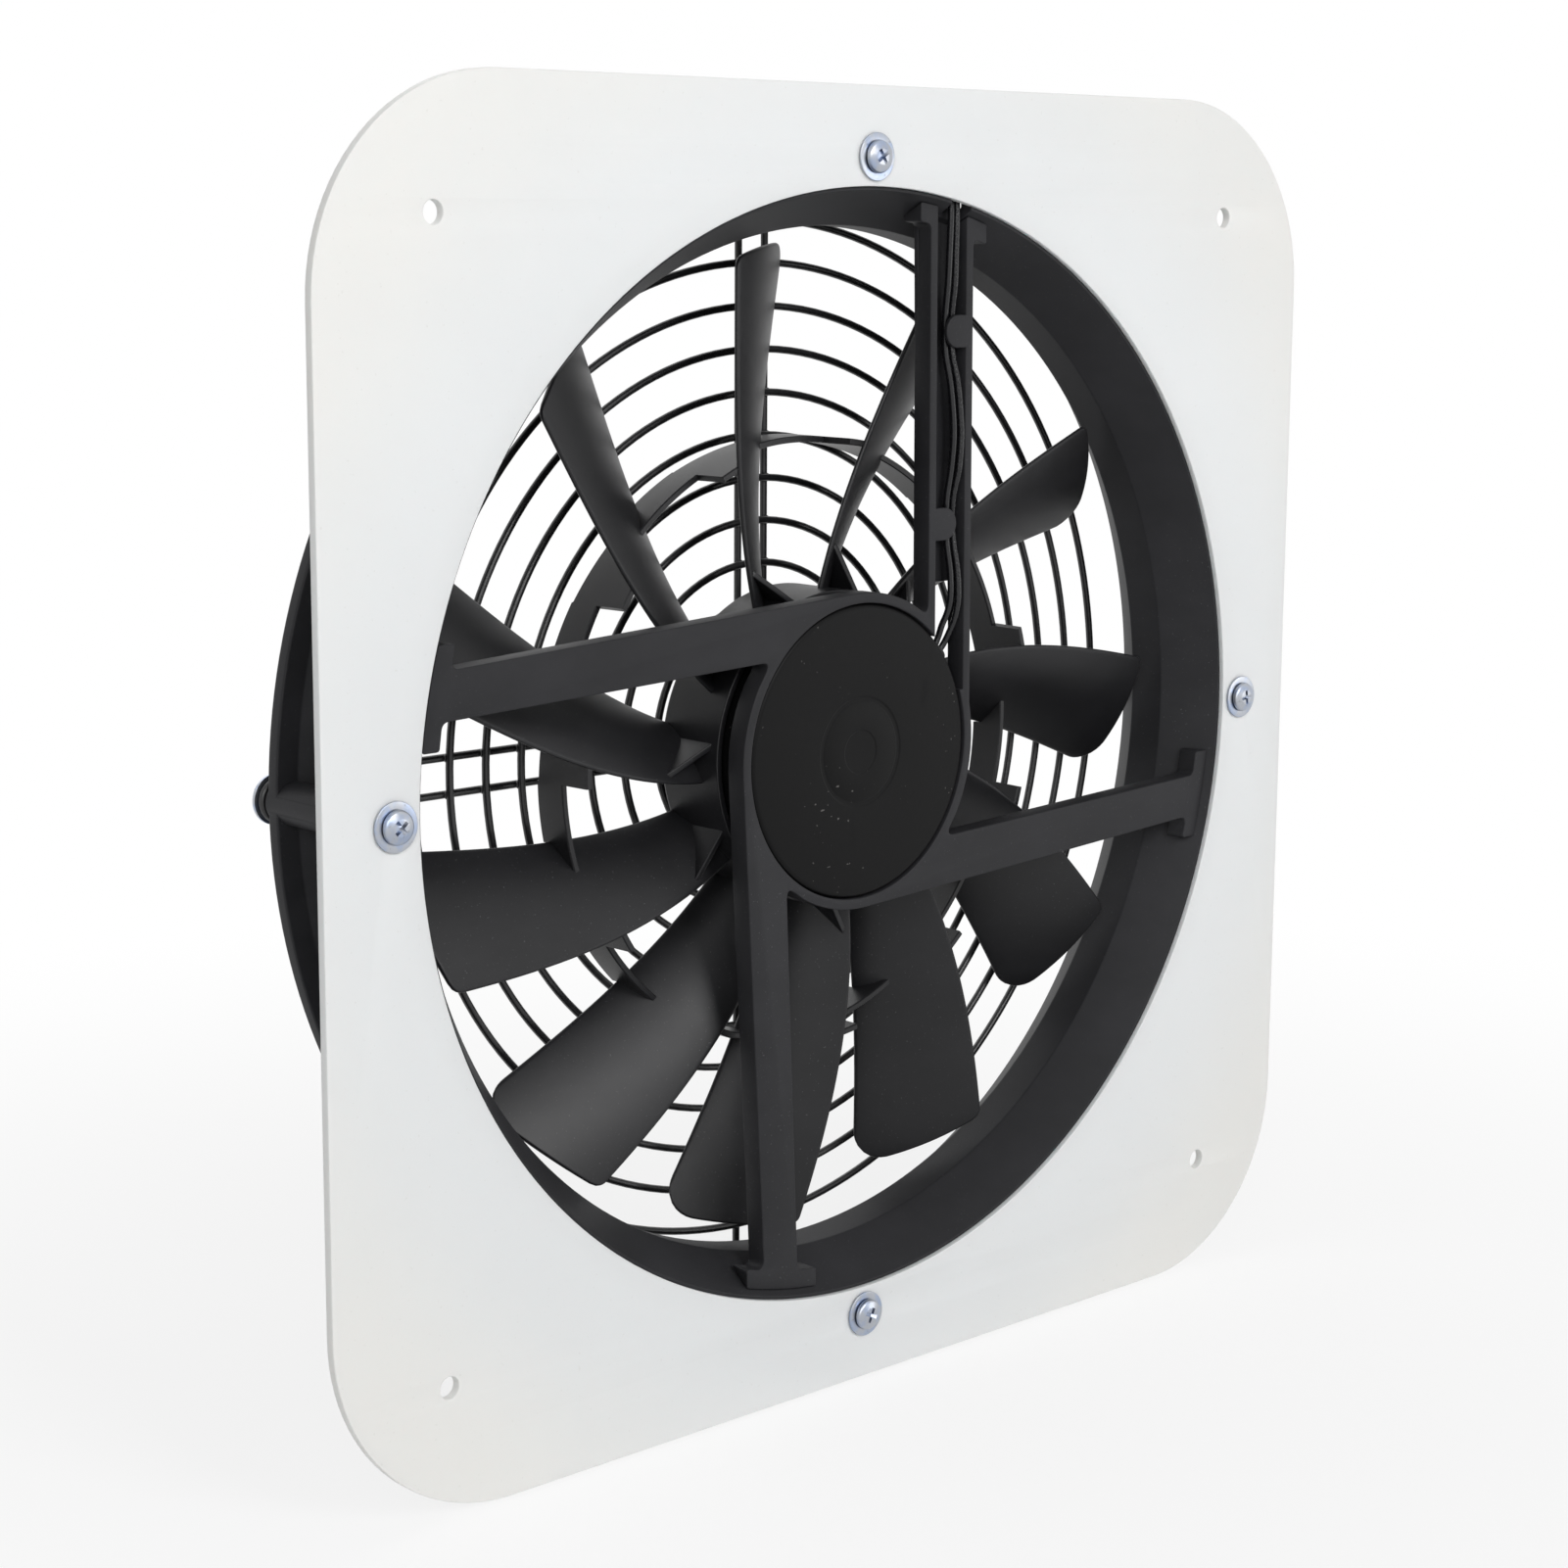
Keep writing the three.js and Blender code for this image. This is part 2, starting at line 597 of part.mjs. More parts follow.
function motorSpider() {
  const floorFront = spiderBack - CHANNEL_FLOOR;
  const cutFront = SPIDER_FRONT - 1;
  const nearWall = CHANNEL_WIDTH - CHANNEL_WALL;
  let spider = solid(turned([
    [spiderBore, SPIDER_FRONT],
    [spiderRingRadius, SPIDER_FRONT],
    [spiderRingRadius, spiderBack],
    [spiderBore, spiderBack],
  ], ROUND_SEGMENTS));
  for (const quarters of SCREWED_ARMS) {
    spider = spider.add(solid(quarterTurned(plateBetween(armShape(), SPIDER_FRONT, spiderBack), quarters)));
    spider = spider.add(foot(FOOT_NEAR, FOOT_LENGTH).rotate([0, 90 * quarters, 0]));
  }
  // the wire channel takes the place of the upper arm
  spider = spider.add(foot(CHANNEL_FOOT_NEAR, CHANNEL_FOOT_LENGTH));
  const mouth = channelStrip(CHANNEL_WALL, nearWall, CHANNEL_MOUTH, footTop, cutFront, spiderBack + 1);
  spider = spider.subtract(mouth);
  spider = spider.add(channelStrip(0, CHANNEL_WALL, -CHANNEL_TAIL, armReach, SPIDER_FRONT, spiderBack));
  const wallStart = NEAR_WALL_START;
  spider = spider.add(channelStrip(nearWall, CHANNEL_WIDTH, wallStart, armReach, SPIDER_FRONT, spiderBack));
  const floorStart = Math.sqrt(CHANNEL_FLOOR_RADIUS ** 2 - (CHANNEL_OFFSET - CHANNEL_WIDTH) ** 2);
  spider = spider.add(channelStrip(1, CHANNEL_WIDTH - 1, floorStart, armReach, floorFront, spiderBack));
  const farWallX = channelSideAt(UPPER_TAB_Z) - 1;
  const nearWallX = channelSideAt(LOWER_TAB_Z) - CHANNEL_WIDTH + 1;
  spider = spider.add(holdingTab(farWallX, -UPPER_TAB_REACH - 1, UPPER_TAB_Z));
  spider = spider.add(holdingTab(nearWallX, LOWER_TAB_REACH + 2, LOWER_TAB_Z));
  spider = spider.subtract(solid(rodAlongY(spiderBore, cutFront, spiderBack + 1, 0, 0, ROUND_SEGMENTS)));
  for (const quarters of SCREWED_ARMS) {
    const holeFront = spiderBack - MOTOR_SCREW_DEPTH - GAP;
    const radius = MOTOR_SCREW_RADIUS + GAP;
    const hole = rodAlongY(radius, holeFront, spiderBack + 1, motorScrewX, MOTOR_SCREW_Z, 12);
    spider = spider.subtract(solid(quarterTurned(hole, quarters)));
  }
  return spider.intersect(inletPlug());
}
place('motor_spider', motorSpider(), blackPlastic);

// ---- rear guard ------------------------------------------------------------------------------
const guardRingY = lipBack + GUARD_GAP_TO_LIP;
const stayY = guardRingY + GUARD_WIRE_RADIUS + STAY_WIRE_RADIUS - STAY_WELD;
const guardInnerRing = GUARD_RING_OUTER - GUARD_RING_PITCH * (GUARD_RING_COUNT - 1);

function guardRing(radius) {
  const corners = [];
  for (let side = 0; side < 5; side += 1) {
    const angle = (side * 2 * Math.PI) / 5;
    corners.push([
      radius + GUARD_WIRE_RADIUS * Math.sin(angle),
      guardRingY + GUARD_WIRE_RADIUS * Math.cos(angle),
    ]);
  }
  return solid(turned(corners, 4 * Math.round(3 + radius / 36)));
}

// A hairpin of wire: two straight stays and a loop round the bolt.
function guardStay() {
  const half = STAY_SPACING / 2;
  const tail = guardInnerRing - STAY_WIRE_RADIUS;
  const length = BOLT_CIRCLE_RADIUS + STAY_WELD - tail;
  const loopPoints = [];
  const loopSteps = 8;
  for (let step = 0; step <= loopSteps; step += 1) {
    const angle = Math.PI * (1 - step / loopSteps);
    const z = BOLT_CIRCLE_RADIUS + half * Math.sin(angle);
    loopPoints.push(new THREE.Vector3(half * Math.cos(angle), stayY, z));
  }
  const loop = tubeAlong(new THREE.CatmullRomCurve3(loopPoints), STAY_WIRE_RADIUS, 8, loopSteps);
  const rods = [-half, half].map((x) => {
    const rod = new THREE.CylinderGeometry(STAY_WIRE_RADIUS, STAY_WIRE_RADIUS, length, 8);
    return solid(rod.rotateX(Math.PI / 2).translate(x, stayY, tail + length / 2));
  });
  return joined([solid(loop), ...rods]);
}

function rearGuard() {
  const rings = [];
  for (let number = 0; number < GUARD_RING_COUNT; number += 1) {
    rings.push(guardRing(GUARD_RING_OUTER - number * GUARD_RING_PITCH));
  }
  const stays = SIDES.map((side, quarters) => guardStay().rotate([0, 90 * quarters, 0]));
  return joined([...stays, ...rings]);
}
place('rear_guard', rearGuard(), blackWire);

// ---- through bolts, washers and nuts -----------------------------------------------------------
const frontWasherBack = panelFront - GAP;
const frontWasherFront = frontWasherBack - FRONT_WASHER_THICKNESS;
const headBack = frontWasherFront - GAP;
const headFront = headBack - BOLT_HEAD_HEIGHT;
const rearWasherFront = stayY + STAY_WIRE_RADIUS + GAP;
const rearWasherBack = rearWasherFront + REAR_WASHER_THICKNESS;
const nutFront = rearWasherBack + GAP;
const nutBack = nutFront + NUT_THICKNESS;

function flatWasher(outer, bore, frontY, backY, segments = SMALL_SEGMENTS) {
  return turned([[bore, frontY], [outer, frontY], [outer, backY], [bore, backY]], segments);
}

function hexNut(acrossFlats, bore, frontY, backY) {
  const nut = rodAlongY(acrossFlats / Math.sqrt(3), frontY, backY, 0, 0, 6);
  return solid(nut).subtract(solid(rodAlongY(bore, frontY - 1, backY + 1, 0, 0, 12)));
}

function panelBolt() {
  const head = turned([
    [0, headFront],
    [0.45 * BOLT_HEAD_RADIUS, headFront + 0.1],
    [0.85 * BOLT_HEAD_RADIUS, headFront + 0.35 * BOLT_HEAD_HEIGHT],
    [BOLT_HEAD_RADIUS, headFront + 0.75 * BOLT_HEAD_HEIGHT],
    [BOLT_HEAD_RADIUS, headBack],
    [BOLT_RADIUS, headBack],
    [BOLT_RADIUS, nutBack + BOLT_TAIL],
    [0, nutBack + BOLT_TAIL],
  ], SMALL_SEGMENTS);
  const reach = BOLT_RECESS_REACH;
  const half = BOLT_RECESS_WIDTH / 2;
  const recessBack = headFront + BOLT_RECESS_DEPTH;
  const slotX = blockBetween([-reach, headFront - 1, -half], [reach, recessBack, half]);
  const slotZ = blockBetween([-half, headFront - 1, -reach], [half, recessBack, reach]);
  return solid(head).subtract(solid(slotX)).subtract(solid(slotZ));
}

SIDES.forEach((side, number) => {
  const group = sideGroups[number];
  const bore = BOLT_RADIUS + GAP;
  const pieces = [
    place(`panel_bolt_${side}`, panelBolt(), zincSteel, group),
    place(`front_washer_${side}`,
      flatWasher(FRONT_WASHER_RADIUS, bore, frontWasherFront, frontWasherBack), zincSteel, group),
    place(`guard_washer_${side}`,
      flatWasher(REAR_WASHER_RADIUS, bore, rearWasherFront, rearWasherBack), zincSteel, group),
    place(`guard_nut_${side}`,
      hexNut(NUT_ACROSS_FLATS, bore, nutFront, nutBack), zincSteel, group),
  ];
  for (const piece of pieces) {
    piece.position.z = BOLT_CIRCLE_RADIUS;
  }
});

// ---- motor: can, end plate and what they hold --------------------------------------------------
const canBack = MOTOR_FRONT + MOTOR_LENGTH;
const canInner = MOTOR_RADIUS - CAN_WALL;
const plateFront = MOTOR_FRONT + CAN_FRONT_WALL;
const pocketRadius = BEARING_RADIUS + GAP;
const pocketOuter = pocketRadius + POCKET_WALL;
const frontBearingFront = plateFront + GAP;
const frontBearingBack = frontBearingFront + BEARING_WIDTH;
const endPlateFront = canBack + GAP;
const endPlateBack = endPlateFront + END_PLATE_THICKNESS;
const rearPocketBack = endPlateBack + POCKET_LIP;
const rearBearingBack = rearPocketBack - POCKET_LIP / 2 - GAP;
const rearBearingFront = rearBearingBack - BEARING_WIDTH;
const entryAngle = THREE.MathUtils.degToRad(LEAD_ENTRY_ANGLE);

// A piece drawn pointing along +X is turned to point at the lead entry, plus an angle.
function towardsEntry(geometry, extraDegrees = 0) {
  return geometry.rotateY(-entryAngle - THREE.MathUtils.degToRad(extraDegrees));
}

function motorCan() {
  let can = solid(turned([
    [0, MOTOR_FRONT],
    [MOTOR_RADIUS - CAN_EDGE, MOTOR_FRONT],
    [MOTOR_RADIUS - 0.3 * CAN_EDGE, MOTOR_FRONT + 0.3 * CAN_EDGE],
    [MOTOR_RADIUS, MOTOR_FRONT + CAN_EDGE],
    [MOTOR_RADIUS, canBack],
    [canInner, canBack],
    [canInner, plateFront],
    [pocketOuter, plateFront],
    [pocketOuter, frontBearingBack],
    [pocketRadius, frontBearingBack],
    [pocketRadius, plateFront],
    [0, plateFront],
  ], MOTOR_SEGMENTS));
  const earFront = spiderBack + GAP;
  const earBack = earFront + EAR_THICKNESS;
  const earAngle = Math.atan2(motorScrewX, MOTOR_SCREW_Z);
  for (const quarters of SCREWED_ARMS) {
    const root = blockBetween(
      [-EAR_RADIUS, earFront, canInner + 0.4],
      [EAR_RADIUS, earBack, MOTOR_SCREW_CIRCLE],
    ).rotateY(earAngle);
    const end = solid(rodAlongY(EAR_RADIUS, earFront, earBack, motorScrewX, MOTOR_SCREW_Z));
    const boreRadius = MOTOR_SCREW_RADIUS + GAP;
    const bore = solid(rodAlongY(boreRadius, earFront - 1, earBack + 1, motorScrewX, MOTOR_SCREW_Z));
    can = can.add(end.add(solid(root)).subtract(bore).rotate([0, 90 * quarters, 0]));
  }
  const entry = new THREE.CylinderGeometry(GROMMET_RADIUS + GAP, GROMMET_RADIUS + GAP, 12, SMALL_SEGMENTS);
  entry.rotateZ(Math.PI / 2).translate(MOTOR_RADIUS, LEAD_ENTRY_Y, 0);
  return can.subtract(solid(towardsEntry(entry)));
}
place('motor_can', motorCan(), blackSteel);

place('motor_end_plate', turned([
  [pocketOuter, endPlateFront],
  [MOTOR_RADIUS, endPlateFront],
  [MOTOR_RADIUS, endPlateBack],
  [pocketOuter, endPlateBack],
  [pocketOuter, rearPocketBack],
  [SHAFT_RADIUS + 2, rearPocketBack],
  [SHAFT_RADIUS + 2, rearBearingBack + GAP],
  [pocketRadius, rearBearingBack + GAP],
  [pocketRadius, rearBearingFront],
  [pocketOuter, rearBearingFront],
], MOTOR_SEGMENTS), blackSteel);

const bearingBore = SHAFT_RADIUS + GAP;
place('front_bearing',
  flatWasher(BEARING_RADIUS, bearingBore, frontBearingFront, frontBearingBack, 18), bearingSteel);
place('rear_bearing',
  flatWasher(BEARING_RADIUS, bearingBore, rearBearingFront, rearBearingBack, 18), bearingSteel);

const magnetOuter = canInner - GAP;
const magnetInner = magnetOuter - MAGNET_THICKNESS;
const armatureRadius = magnetInner - AIR_GAP;

function magnet() {
  const start = THREE.MathUtils.degToRad(90 - MAGNET_SPAN / 2);
  const end = THREE.MathUtils.degToRad(90 + MAGNET_SPAN / 2);
  const shape = new THREE.Shape();
  shape.absarc(0, 0, magnetOuter, start, end, false);
  shape.absarc(0, 0, magnetInner, end, start, true);
  return plateBetween(shape, MAGNET_START, MAGNET_START + MAGNET_LENGTH, 8);
}
place('magnet_upper', bare(towardsEntry(magnet())), ferrite);
place('magnet_lower', bare(towardsEntry(magnet(), 180)), ferrite);

// ---- brush gear --------------------------------------------------------------------------------
const coilFront = CORE_START - GAP - COIL_HEIGHT;
const coreBack = CORE_START + CORE_LENGTH;
const coilBack = coreBack + GAP + COIL_HEIGHT;
const brushFront = coilBack + RUNNING_GAP + BRUSH_BOX_WALL + GAP;
const brushBack = brushFront + BRUSH_HEIGHT;
const brushPlateFront = brushBack + GAP;
const brushPlateBack = brushPlateFront + BRUSH_PLATE_THICKNESS;
const brushInner = COMMUTATOR_RADIUS + GAP;
const brushOuter = brushInner + BRUSH_LENGTH;
const springOuter = brushOuter + GAP + BRUSH_SPRING_LENGTH;

function brushBox() {
  const half = BRUSH_WIDTH / 2 + GAP;
  const outer = half + BRUSH_BOX_WALL;
  const front = brushFront - GAP - BRUSH_BOX_WALL;
  const boxInner = brushInner + 2;
  const boxOuter = springOuter + GAP + BRUSH_BOX_WALL;
  const block = solid(blockBetween([boxInner, front, -outer], [boxOuter, brushPlateFront + 0.2, outer]));
  const insideHigh = [springOuter + GAP, brushPlateFront, half];
  const inside = solid(blockBetween([boxInner - 1, brushFront - GAP, -half], insideHigh));
  return block.subtract(inside);
}

function brushHolder() {
  const bore = COMMUTATOR_RADIUS + RUNNING_GAP;
  const plate = turned([
    [bore, brushPlateFront],
    [canInner - GAP, brushPlateFront],
    [canInner - GAP, brushPlateBack],
    [bore, brushPlateBack],
  ], MOTOR_SEGMENTS);
  return solid(plate)
    .add(brushBox().rotate([0, -90 - LEAD_ENTRY_ANGLE, 0]))
    .add(brushBox().rotate([0, 90 - LEAD_ENTRY_ANGLE, 0]));
}
place('brush_holder', brushHolder(), phenolic);

[['a', 90], ['b', -90]].forEach(([letter, turn]) => {
  const half = BRUSH_WIDTH / 2;
  const brush = blockBetween([brushInner, brushFront, -half], [brushOuter, brushBack, half]);
  place(`brush_${letter}`, bare(towardsEntry(brush, turn)), carbon);
  const radius = BRUSH_SPRING_RADIUS;
  const spring = new THREE.CylinderGeometry(radius, radius, BRUSH_SPRING_LENGTH, 10);
  const middle = (brushOuter + GAP + springOuter) / 2;
  spring.rotateZ(Math.PI / 2).translate(middle, (brushFront + brushBack) / 2, 0);
  place(`brush_spring_${letter}`, bare(towardsEntry(spring, turn)), shaftSteel);
});

// ---- motor screws --------------------------------------------------------------------------------
function motorScrew() {
  const headFrontY = screwBack + GAP;
  const screw = turned([
    [0, spiderBack - MOTOR_SCREW_DEPTH],
    [MOTOR_SCREW_RADIUS, spiderBack - MOTOR_SCREW_DEPTH],
    [MOTOR_SCREW_RADIUS, headFrontY],
    [MOTOR_SCREW_HEAD_RADIUS, headFrontY],
    [MOTOR_SCREW_HEAD_RADIUS, headFrontY + 0.6 * MOTOR_SCREW_HEAD_HEIGHT],
    [0.6 * MOTOR_SCREW_HEAD_RADIUS, headFrontY + MOTOR_SCREW_HEAD_HEIGHT],
    [0, headFrontY + MOTOR_SCREW_HEAD_HEIGHT],
  ], 12);
  return screw.translate(motorScrewX, 0, MOTOR_SCREW_Z);
}
for (const quarters of SCREWED_ARMS) {
  const name = `motor_screw_${SIDES[quarters]}`;
  place(name, bare(quarterTurned(motorScrew(), quarters)), zincSteel);
}

// ---- what turns: shaft, armature, commutator, rotor, hub nut ---------------------------------------
const hubFloor = HUB_BACK - HUB_WALL;
const hubWasherFront = HUB_BACK + GAP;
const hubWasherBack = hubWasherFront + HUB_WASHER_THICKNESS;
const hubNutFront = hubWasherBack + GAP / 2;
const hubNutBack = hubNutFront + HUB_NUT_THICKNESS;
const tailBore = SHAFT_TAIL_RADIUS + GAP;

place('motor_shaft', turned([
  [0, frontBearingFront + GAP],
  [SHAFT_RADIUS, frontBearingFront + GAP],
  [SHAFT_RADIUS, hubFloor - GAP],
  [SHAFT_TAIL_RADIUS, hubFloor - GAP],
  [SHAFT_TAIL_RADIUS, hubNutBack + GAP],
  [0, hubNutBack + GAP],
], SMALL_SEGMENTS), shaftSteel);

function coreOutline() {
  const corners = [];
  const pitch = (2 * Math.PI) / CORE_TEETH;
  const tipInner = armatureRadius - TOOTH_TIP;
  const add = (radius, across, angle) => {
    const x = Math.sqrt(radius ** 2 - across ** 2);
    corners.push([
      x * Math.cos(angle) - across * Math.sin(angle),
      x * Math.sin(angle) + across * Math.cos(angle),
    ]);
  };
  for (let tooth = 0; tooth < CORE_TEETH; tooth += 1) {
    const angle = tooth * pitch;
    const halfTip = armatureRadius * Math.sin(pitch / 2) - SLOT_MOUTH / 2;
    const half = TOOTH_WIDTH / 2;
    add(CORE_HUB_RADIUS + 2, -half, angle);
    add(tipInner - 1, -half, angle);
    add(tipInner, -halfTip, angle);
    add(armatureRadius, -halfTip, angle);
    add(armatureRadius, 0, angle);
    add(armatureRadius, halfTip, angle);
    add(tipInner, halfTip, angle);
    add(tipInner - 1, half, angle);
    add(CORE_HUB_RADIUS + 2, half, angle);
  }
  return polygon(corners);
}

function armatureCore() {
  const bore = rodAlongY(SHAFT_RADIUS + GAP, CORE_START - 1, coreBack + 1);
  return solid(plateBetween(coreOutline(), CORE_START, coreBack)).subtract(solid(bore));
}
place('armature_core', armatureCore(), laminations);

function armatureWinding() {
  const inner = CORE_HUB_RADIUS + 3;
  const ring = (front, back) => solid(turned([
    [inner, front], [COIL_RADIUS, front], [COIL_RADIUS, back], [inner, back],
  ], 24));
  const bars = [];
  for (let slot = 0; slot < CORE_TEETH; slot += 1) {
    const half = COIL_BAR_WIDTH / 2;
    const low = [inner + 4, coilFront + 0.5, -half];
    const bar = blockBetween(low, [COIL_RADIUS - 0.5, coilBack - 0.5, half]);
    bars.push(solid(bar.rotateY((2 * Math.PI * (slot + 0.5)) / CORE_TEETH)));
  }
  const frontRing = ring(coilFront, coilFront + COIL_HEIGHT);
  return joined([frontRing, ring(coilBack - COIL_HEIGHT, coilBack), ...bars]);
}
place('armature_winding', armatureWinding(), enamelCopper);

const commutatorFront = brushBack - COMMUTATOR_LENGTH;
place('commutator',
  flatWasher(COMMUTATOR_RADIUS, SHAFT_RADIUS + GAP, commutatorFront, brushBack, 18), copper);

// Value at a radius of a quantity that is given at the blade's three stations.
function bladeValue(key, radius) {
  const [a, b, c] = [BLADE_ROOT, BLADE_MIDDLE, BLADE_TIP];
  const share = (one, two, three) => (
    ((radius - two.radius) * (radius - three.radius))
    / ((one.radius - two.radius) * (one.radius - three.radius))
  );
  return a[key] * share(a, b, c) + b[key] * share(b, c, a) + c[key] * share(c, a, b);
}

// A point of the blade: across runs from the leading edge (0) to the trailing edge (1), and
// side is -1 on the face towards the room and 1 on the other.
function bladePoint(across, radius, side) {
  const lead = THREE.MathUtils.degToRad(bladeValue('leadAngle', radius));
  const trail = THREE.MathUtils.degToRad(bladeValue('trailAngle', radius));
  const leadY = bladeValue('leadY', radius);
  const trailY = bladeValue('trailY', radius);
  const arc = radius * (trail - lead);
  const rise = trailY - leadY;
  const chord = Math.hypot(arc, rise);
  const bulge = 4 * BLADE_CAMBER * across * (1 - across);
  const slope = (4 * BLADE_CAMBER * (1 - 2 * across)) / chord;
  const thickness = BLADE_THICKNESS * (0.55 + 0.45 * Math.sqrt(Math.sin(Math.PI * across)));
  const alongNormal = bulge - (side * thickness) / 2;
  const alongChord = across * chord + (side * slope * thickness) / 2;
  const arcAt = (alongChord * arc + alongNormal * rise) / chord;
  const y = leadY + (alongChord * rise - alongNormal * arc) / chord;
  const angle = lead + arcAt / radius;
  return [radius * Math.cos(angle), y, -radius * Math.sin(angle)];
}

function bladeTipRadius(across) {
  const lead = THREE.MathUtils.degToRad(BLADE_TIP.trailAngle - BLADE_TIP.leadAngle);
  const chord = Math.hypot(BLADE_TIP.radius * lead, BLADE_TIP.trailY - BLADE_TIP.leadY);
  const intoCorner = Math.max(0, across * chord - (chord - BLADE_REAR_CORNER));
  const drop = BLADE_REAR_CORNER - Math.sqrt(Math.max(0, BLADE_REAR_CORNER ** 2 - intoCorner ** 2));
  return BLADE_TIP.radius - drop;
}

const bladeStart = HUB_RADIUS - HUB_WALL / 2;

function blade() {
  const acrossSteps = [0, 0.12, 0.4, 0.72, 0.86, 0.95, 1];
  const outSteps = 4;
  const face = (side) => acrossSteps.map((across) => {
    const tip = bladeTipRadius(across);
    const row = [];
    for (let step = 0; step <= outSteps; step += 1) {
      row.push(bladePoint(across, bladeStart + ((tip - bladeStart) * step) / outSteps, side));
    }
    return row;
  });
  return solid(sheetSolid(face(-1), face(1)));
}

// The share of the way across at which the blade's middle surface has a given angle.
function acrossAtAngle(degrees, radius) {
  const lead = bladeValue('leadAngle', radius);
  return (degrees - lead) / (bladeValue('trailAngle', radius) - lead);
}

// A three-cornered rib from the leading edge to the hub, on the blade's face towards the room.
function gusset() {
  const rootAngle = THREE.MathUtils.degToRad(GUSSET_ANGLE);
  const cos = Math.cos(rootAngle);
  const sin = -Math.sin(rootAngle);
  const outer = new THREE.Vector3(...bladePoint(0.05, GUSSET_REACH, 0));
  const front = new THREE.Vector3(bladeStart * cos, GUSSET_FRONT, bladeStart * sin);
  const deepY = GUSSET_FRONT + GUSSET_DEPTH;
  const deep = new THREE.Vector3(bladeStart * cos, deepY, bladeStart * sin);
  const buried = new THREE.Vector3(...bladePoint(acrossAtAngle(GUSSET_ANGLE, bladeStart), bladeStart, 0));
  deep.y = Math.max(deep.y, buried.y);
  const normal = front.clone().sub(deep).cross(outer.clone().sub(deep)).normalize();
  const shifted = (point, sign) => (
    point.clone().addScaledVector(normal, (sign * GUSSET_THICKNESS) / 2).toArray()
  );
  const positions = [-1, 1].flatMap((sign) => [outer, front, deep].flatMap((p) => shifted(p, sign)));
  const index = [0, 2, 1, 3, 4, 5, 0, 1, 4, 0, 4, 3, 1, 2, 5, 1, 5, 4, 2, 0, 3, 2, 3, 5];
  const geometry = new THREE.BufferGeometry();
  geometry.setAttribute('position', new THREE.Float32BufferAttribute(positions, 3));
  geometry.setIndex(signedVolume(positions, index) < 0 ? index.reverse() : index);
  return solid(geometry);
}

// The band's step forward, between its front end and the blade's face towards the room.
function bandStep() {
  const ROWS = 6;
  const BACK_OVERLAP = 1;
  const start = THREE.MathUtils.degToRad(BAND_STEP_ANGLE);
  const face = (radius) => {
    const lead = THREE.MathUtils.degToRad(bladeValue('leadAngle', radius));
    const trail = THREE.MathUtils.degToRad(bladeValue('trailAngle', radius));
    const leadY = bladeValue('leadY', radius);
    const rise = bladeValue('trailY', radius) - leadY;
    const rows = [];
    for (let row = 0; row <= ROWS; row += 1) {
      const y = BAND_STEP_FRONT + ((BAND_FRONT + BACK_OVERLAP - BAND_STEP_FRONT) * row) / ROWS;
      const end = lead + ((trail - lead) * (y - leadY)) / rise;
      rows.push([0, 0.5, 1].map((share) => {
        const angle = start + (end - start) * share;
        return [radius * Math.cos(angle), y, -radius * Math.sin(angle)];
      }));
    }
    return rows;
  };
  return solid(sheetSolid(face(BAND_RADIUS - BAND_WALL), face(BAND_RADIUS)));
}

function fanRotor() {
  const hubInner = HUB_RADIUS - HUB_WALL;
  const innerEdge = HUB_EDGE - (2 - Math.SQRT2) * HUB_WALL;
  const hub = solid(turned([
    [hubInner, HUB_FRONT],
    [HUB_RADIUS, HUB_FRONT],
    [HUB_RADIUS, HUB_BACK - HUB_EDGE],
    [HUB_RADIUS - HUB_EDGE, HUB_BACK],
    [tailBore, HUB_BACK],
    [tailBore, hubFloor],
    [hubInner - innerEdge, hubFloor],
    [hubInner, hubFloor - innerEdge],
  ], MOTOR_SEGMENTS));
  const bandInner = BAND_RADIUS - BAND_WALL;
  const bandBack = BAND_FRONT + BAND_WIDTH;
  const band = solid(turned([
    [bandInner, BAND_FRONT], [BAND_RADIUS, BAND_FRONT], [BAND_RADIUS, bandBack], [bandInner, bandBack],
  ], 4 * BLADE_COUNT));
  const oneBlade = blade().add(gusset()).add(bandStep());
  const blades = [];
  for (let number = 0; number < BLADE_COUNT; number += 1) {
    blades.push(oneBlade.rotate([0, (360 * number) / BLADE_COUNT, 0]));
  }
  return joined([hub, band, ...blades]);
}
place('fan_rotor', fanRotor(), blackPlastic);

place('hub_washer', flatWasher(HUB_WASHER_RADIUS, tailBore, hubWasherFront, hubWasherBack), zincSteel);
place('hub_nut', hexNut(HUB_NUT_ACROSS_FLATS, tailBore, hubNutFront, hubNutBack), zincSteel);

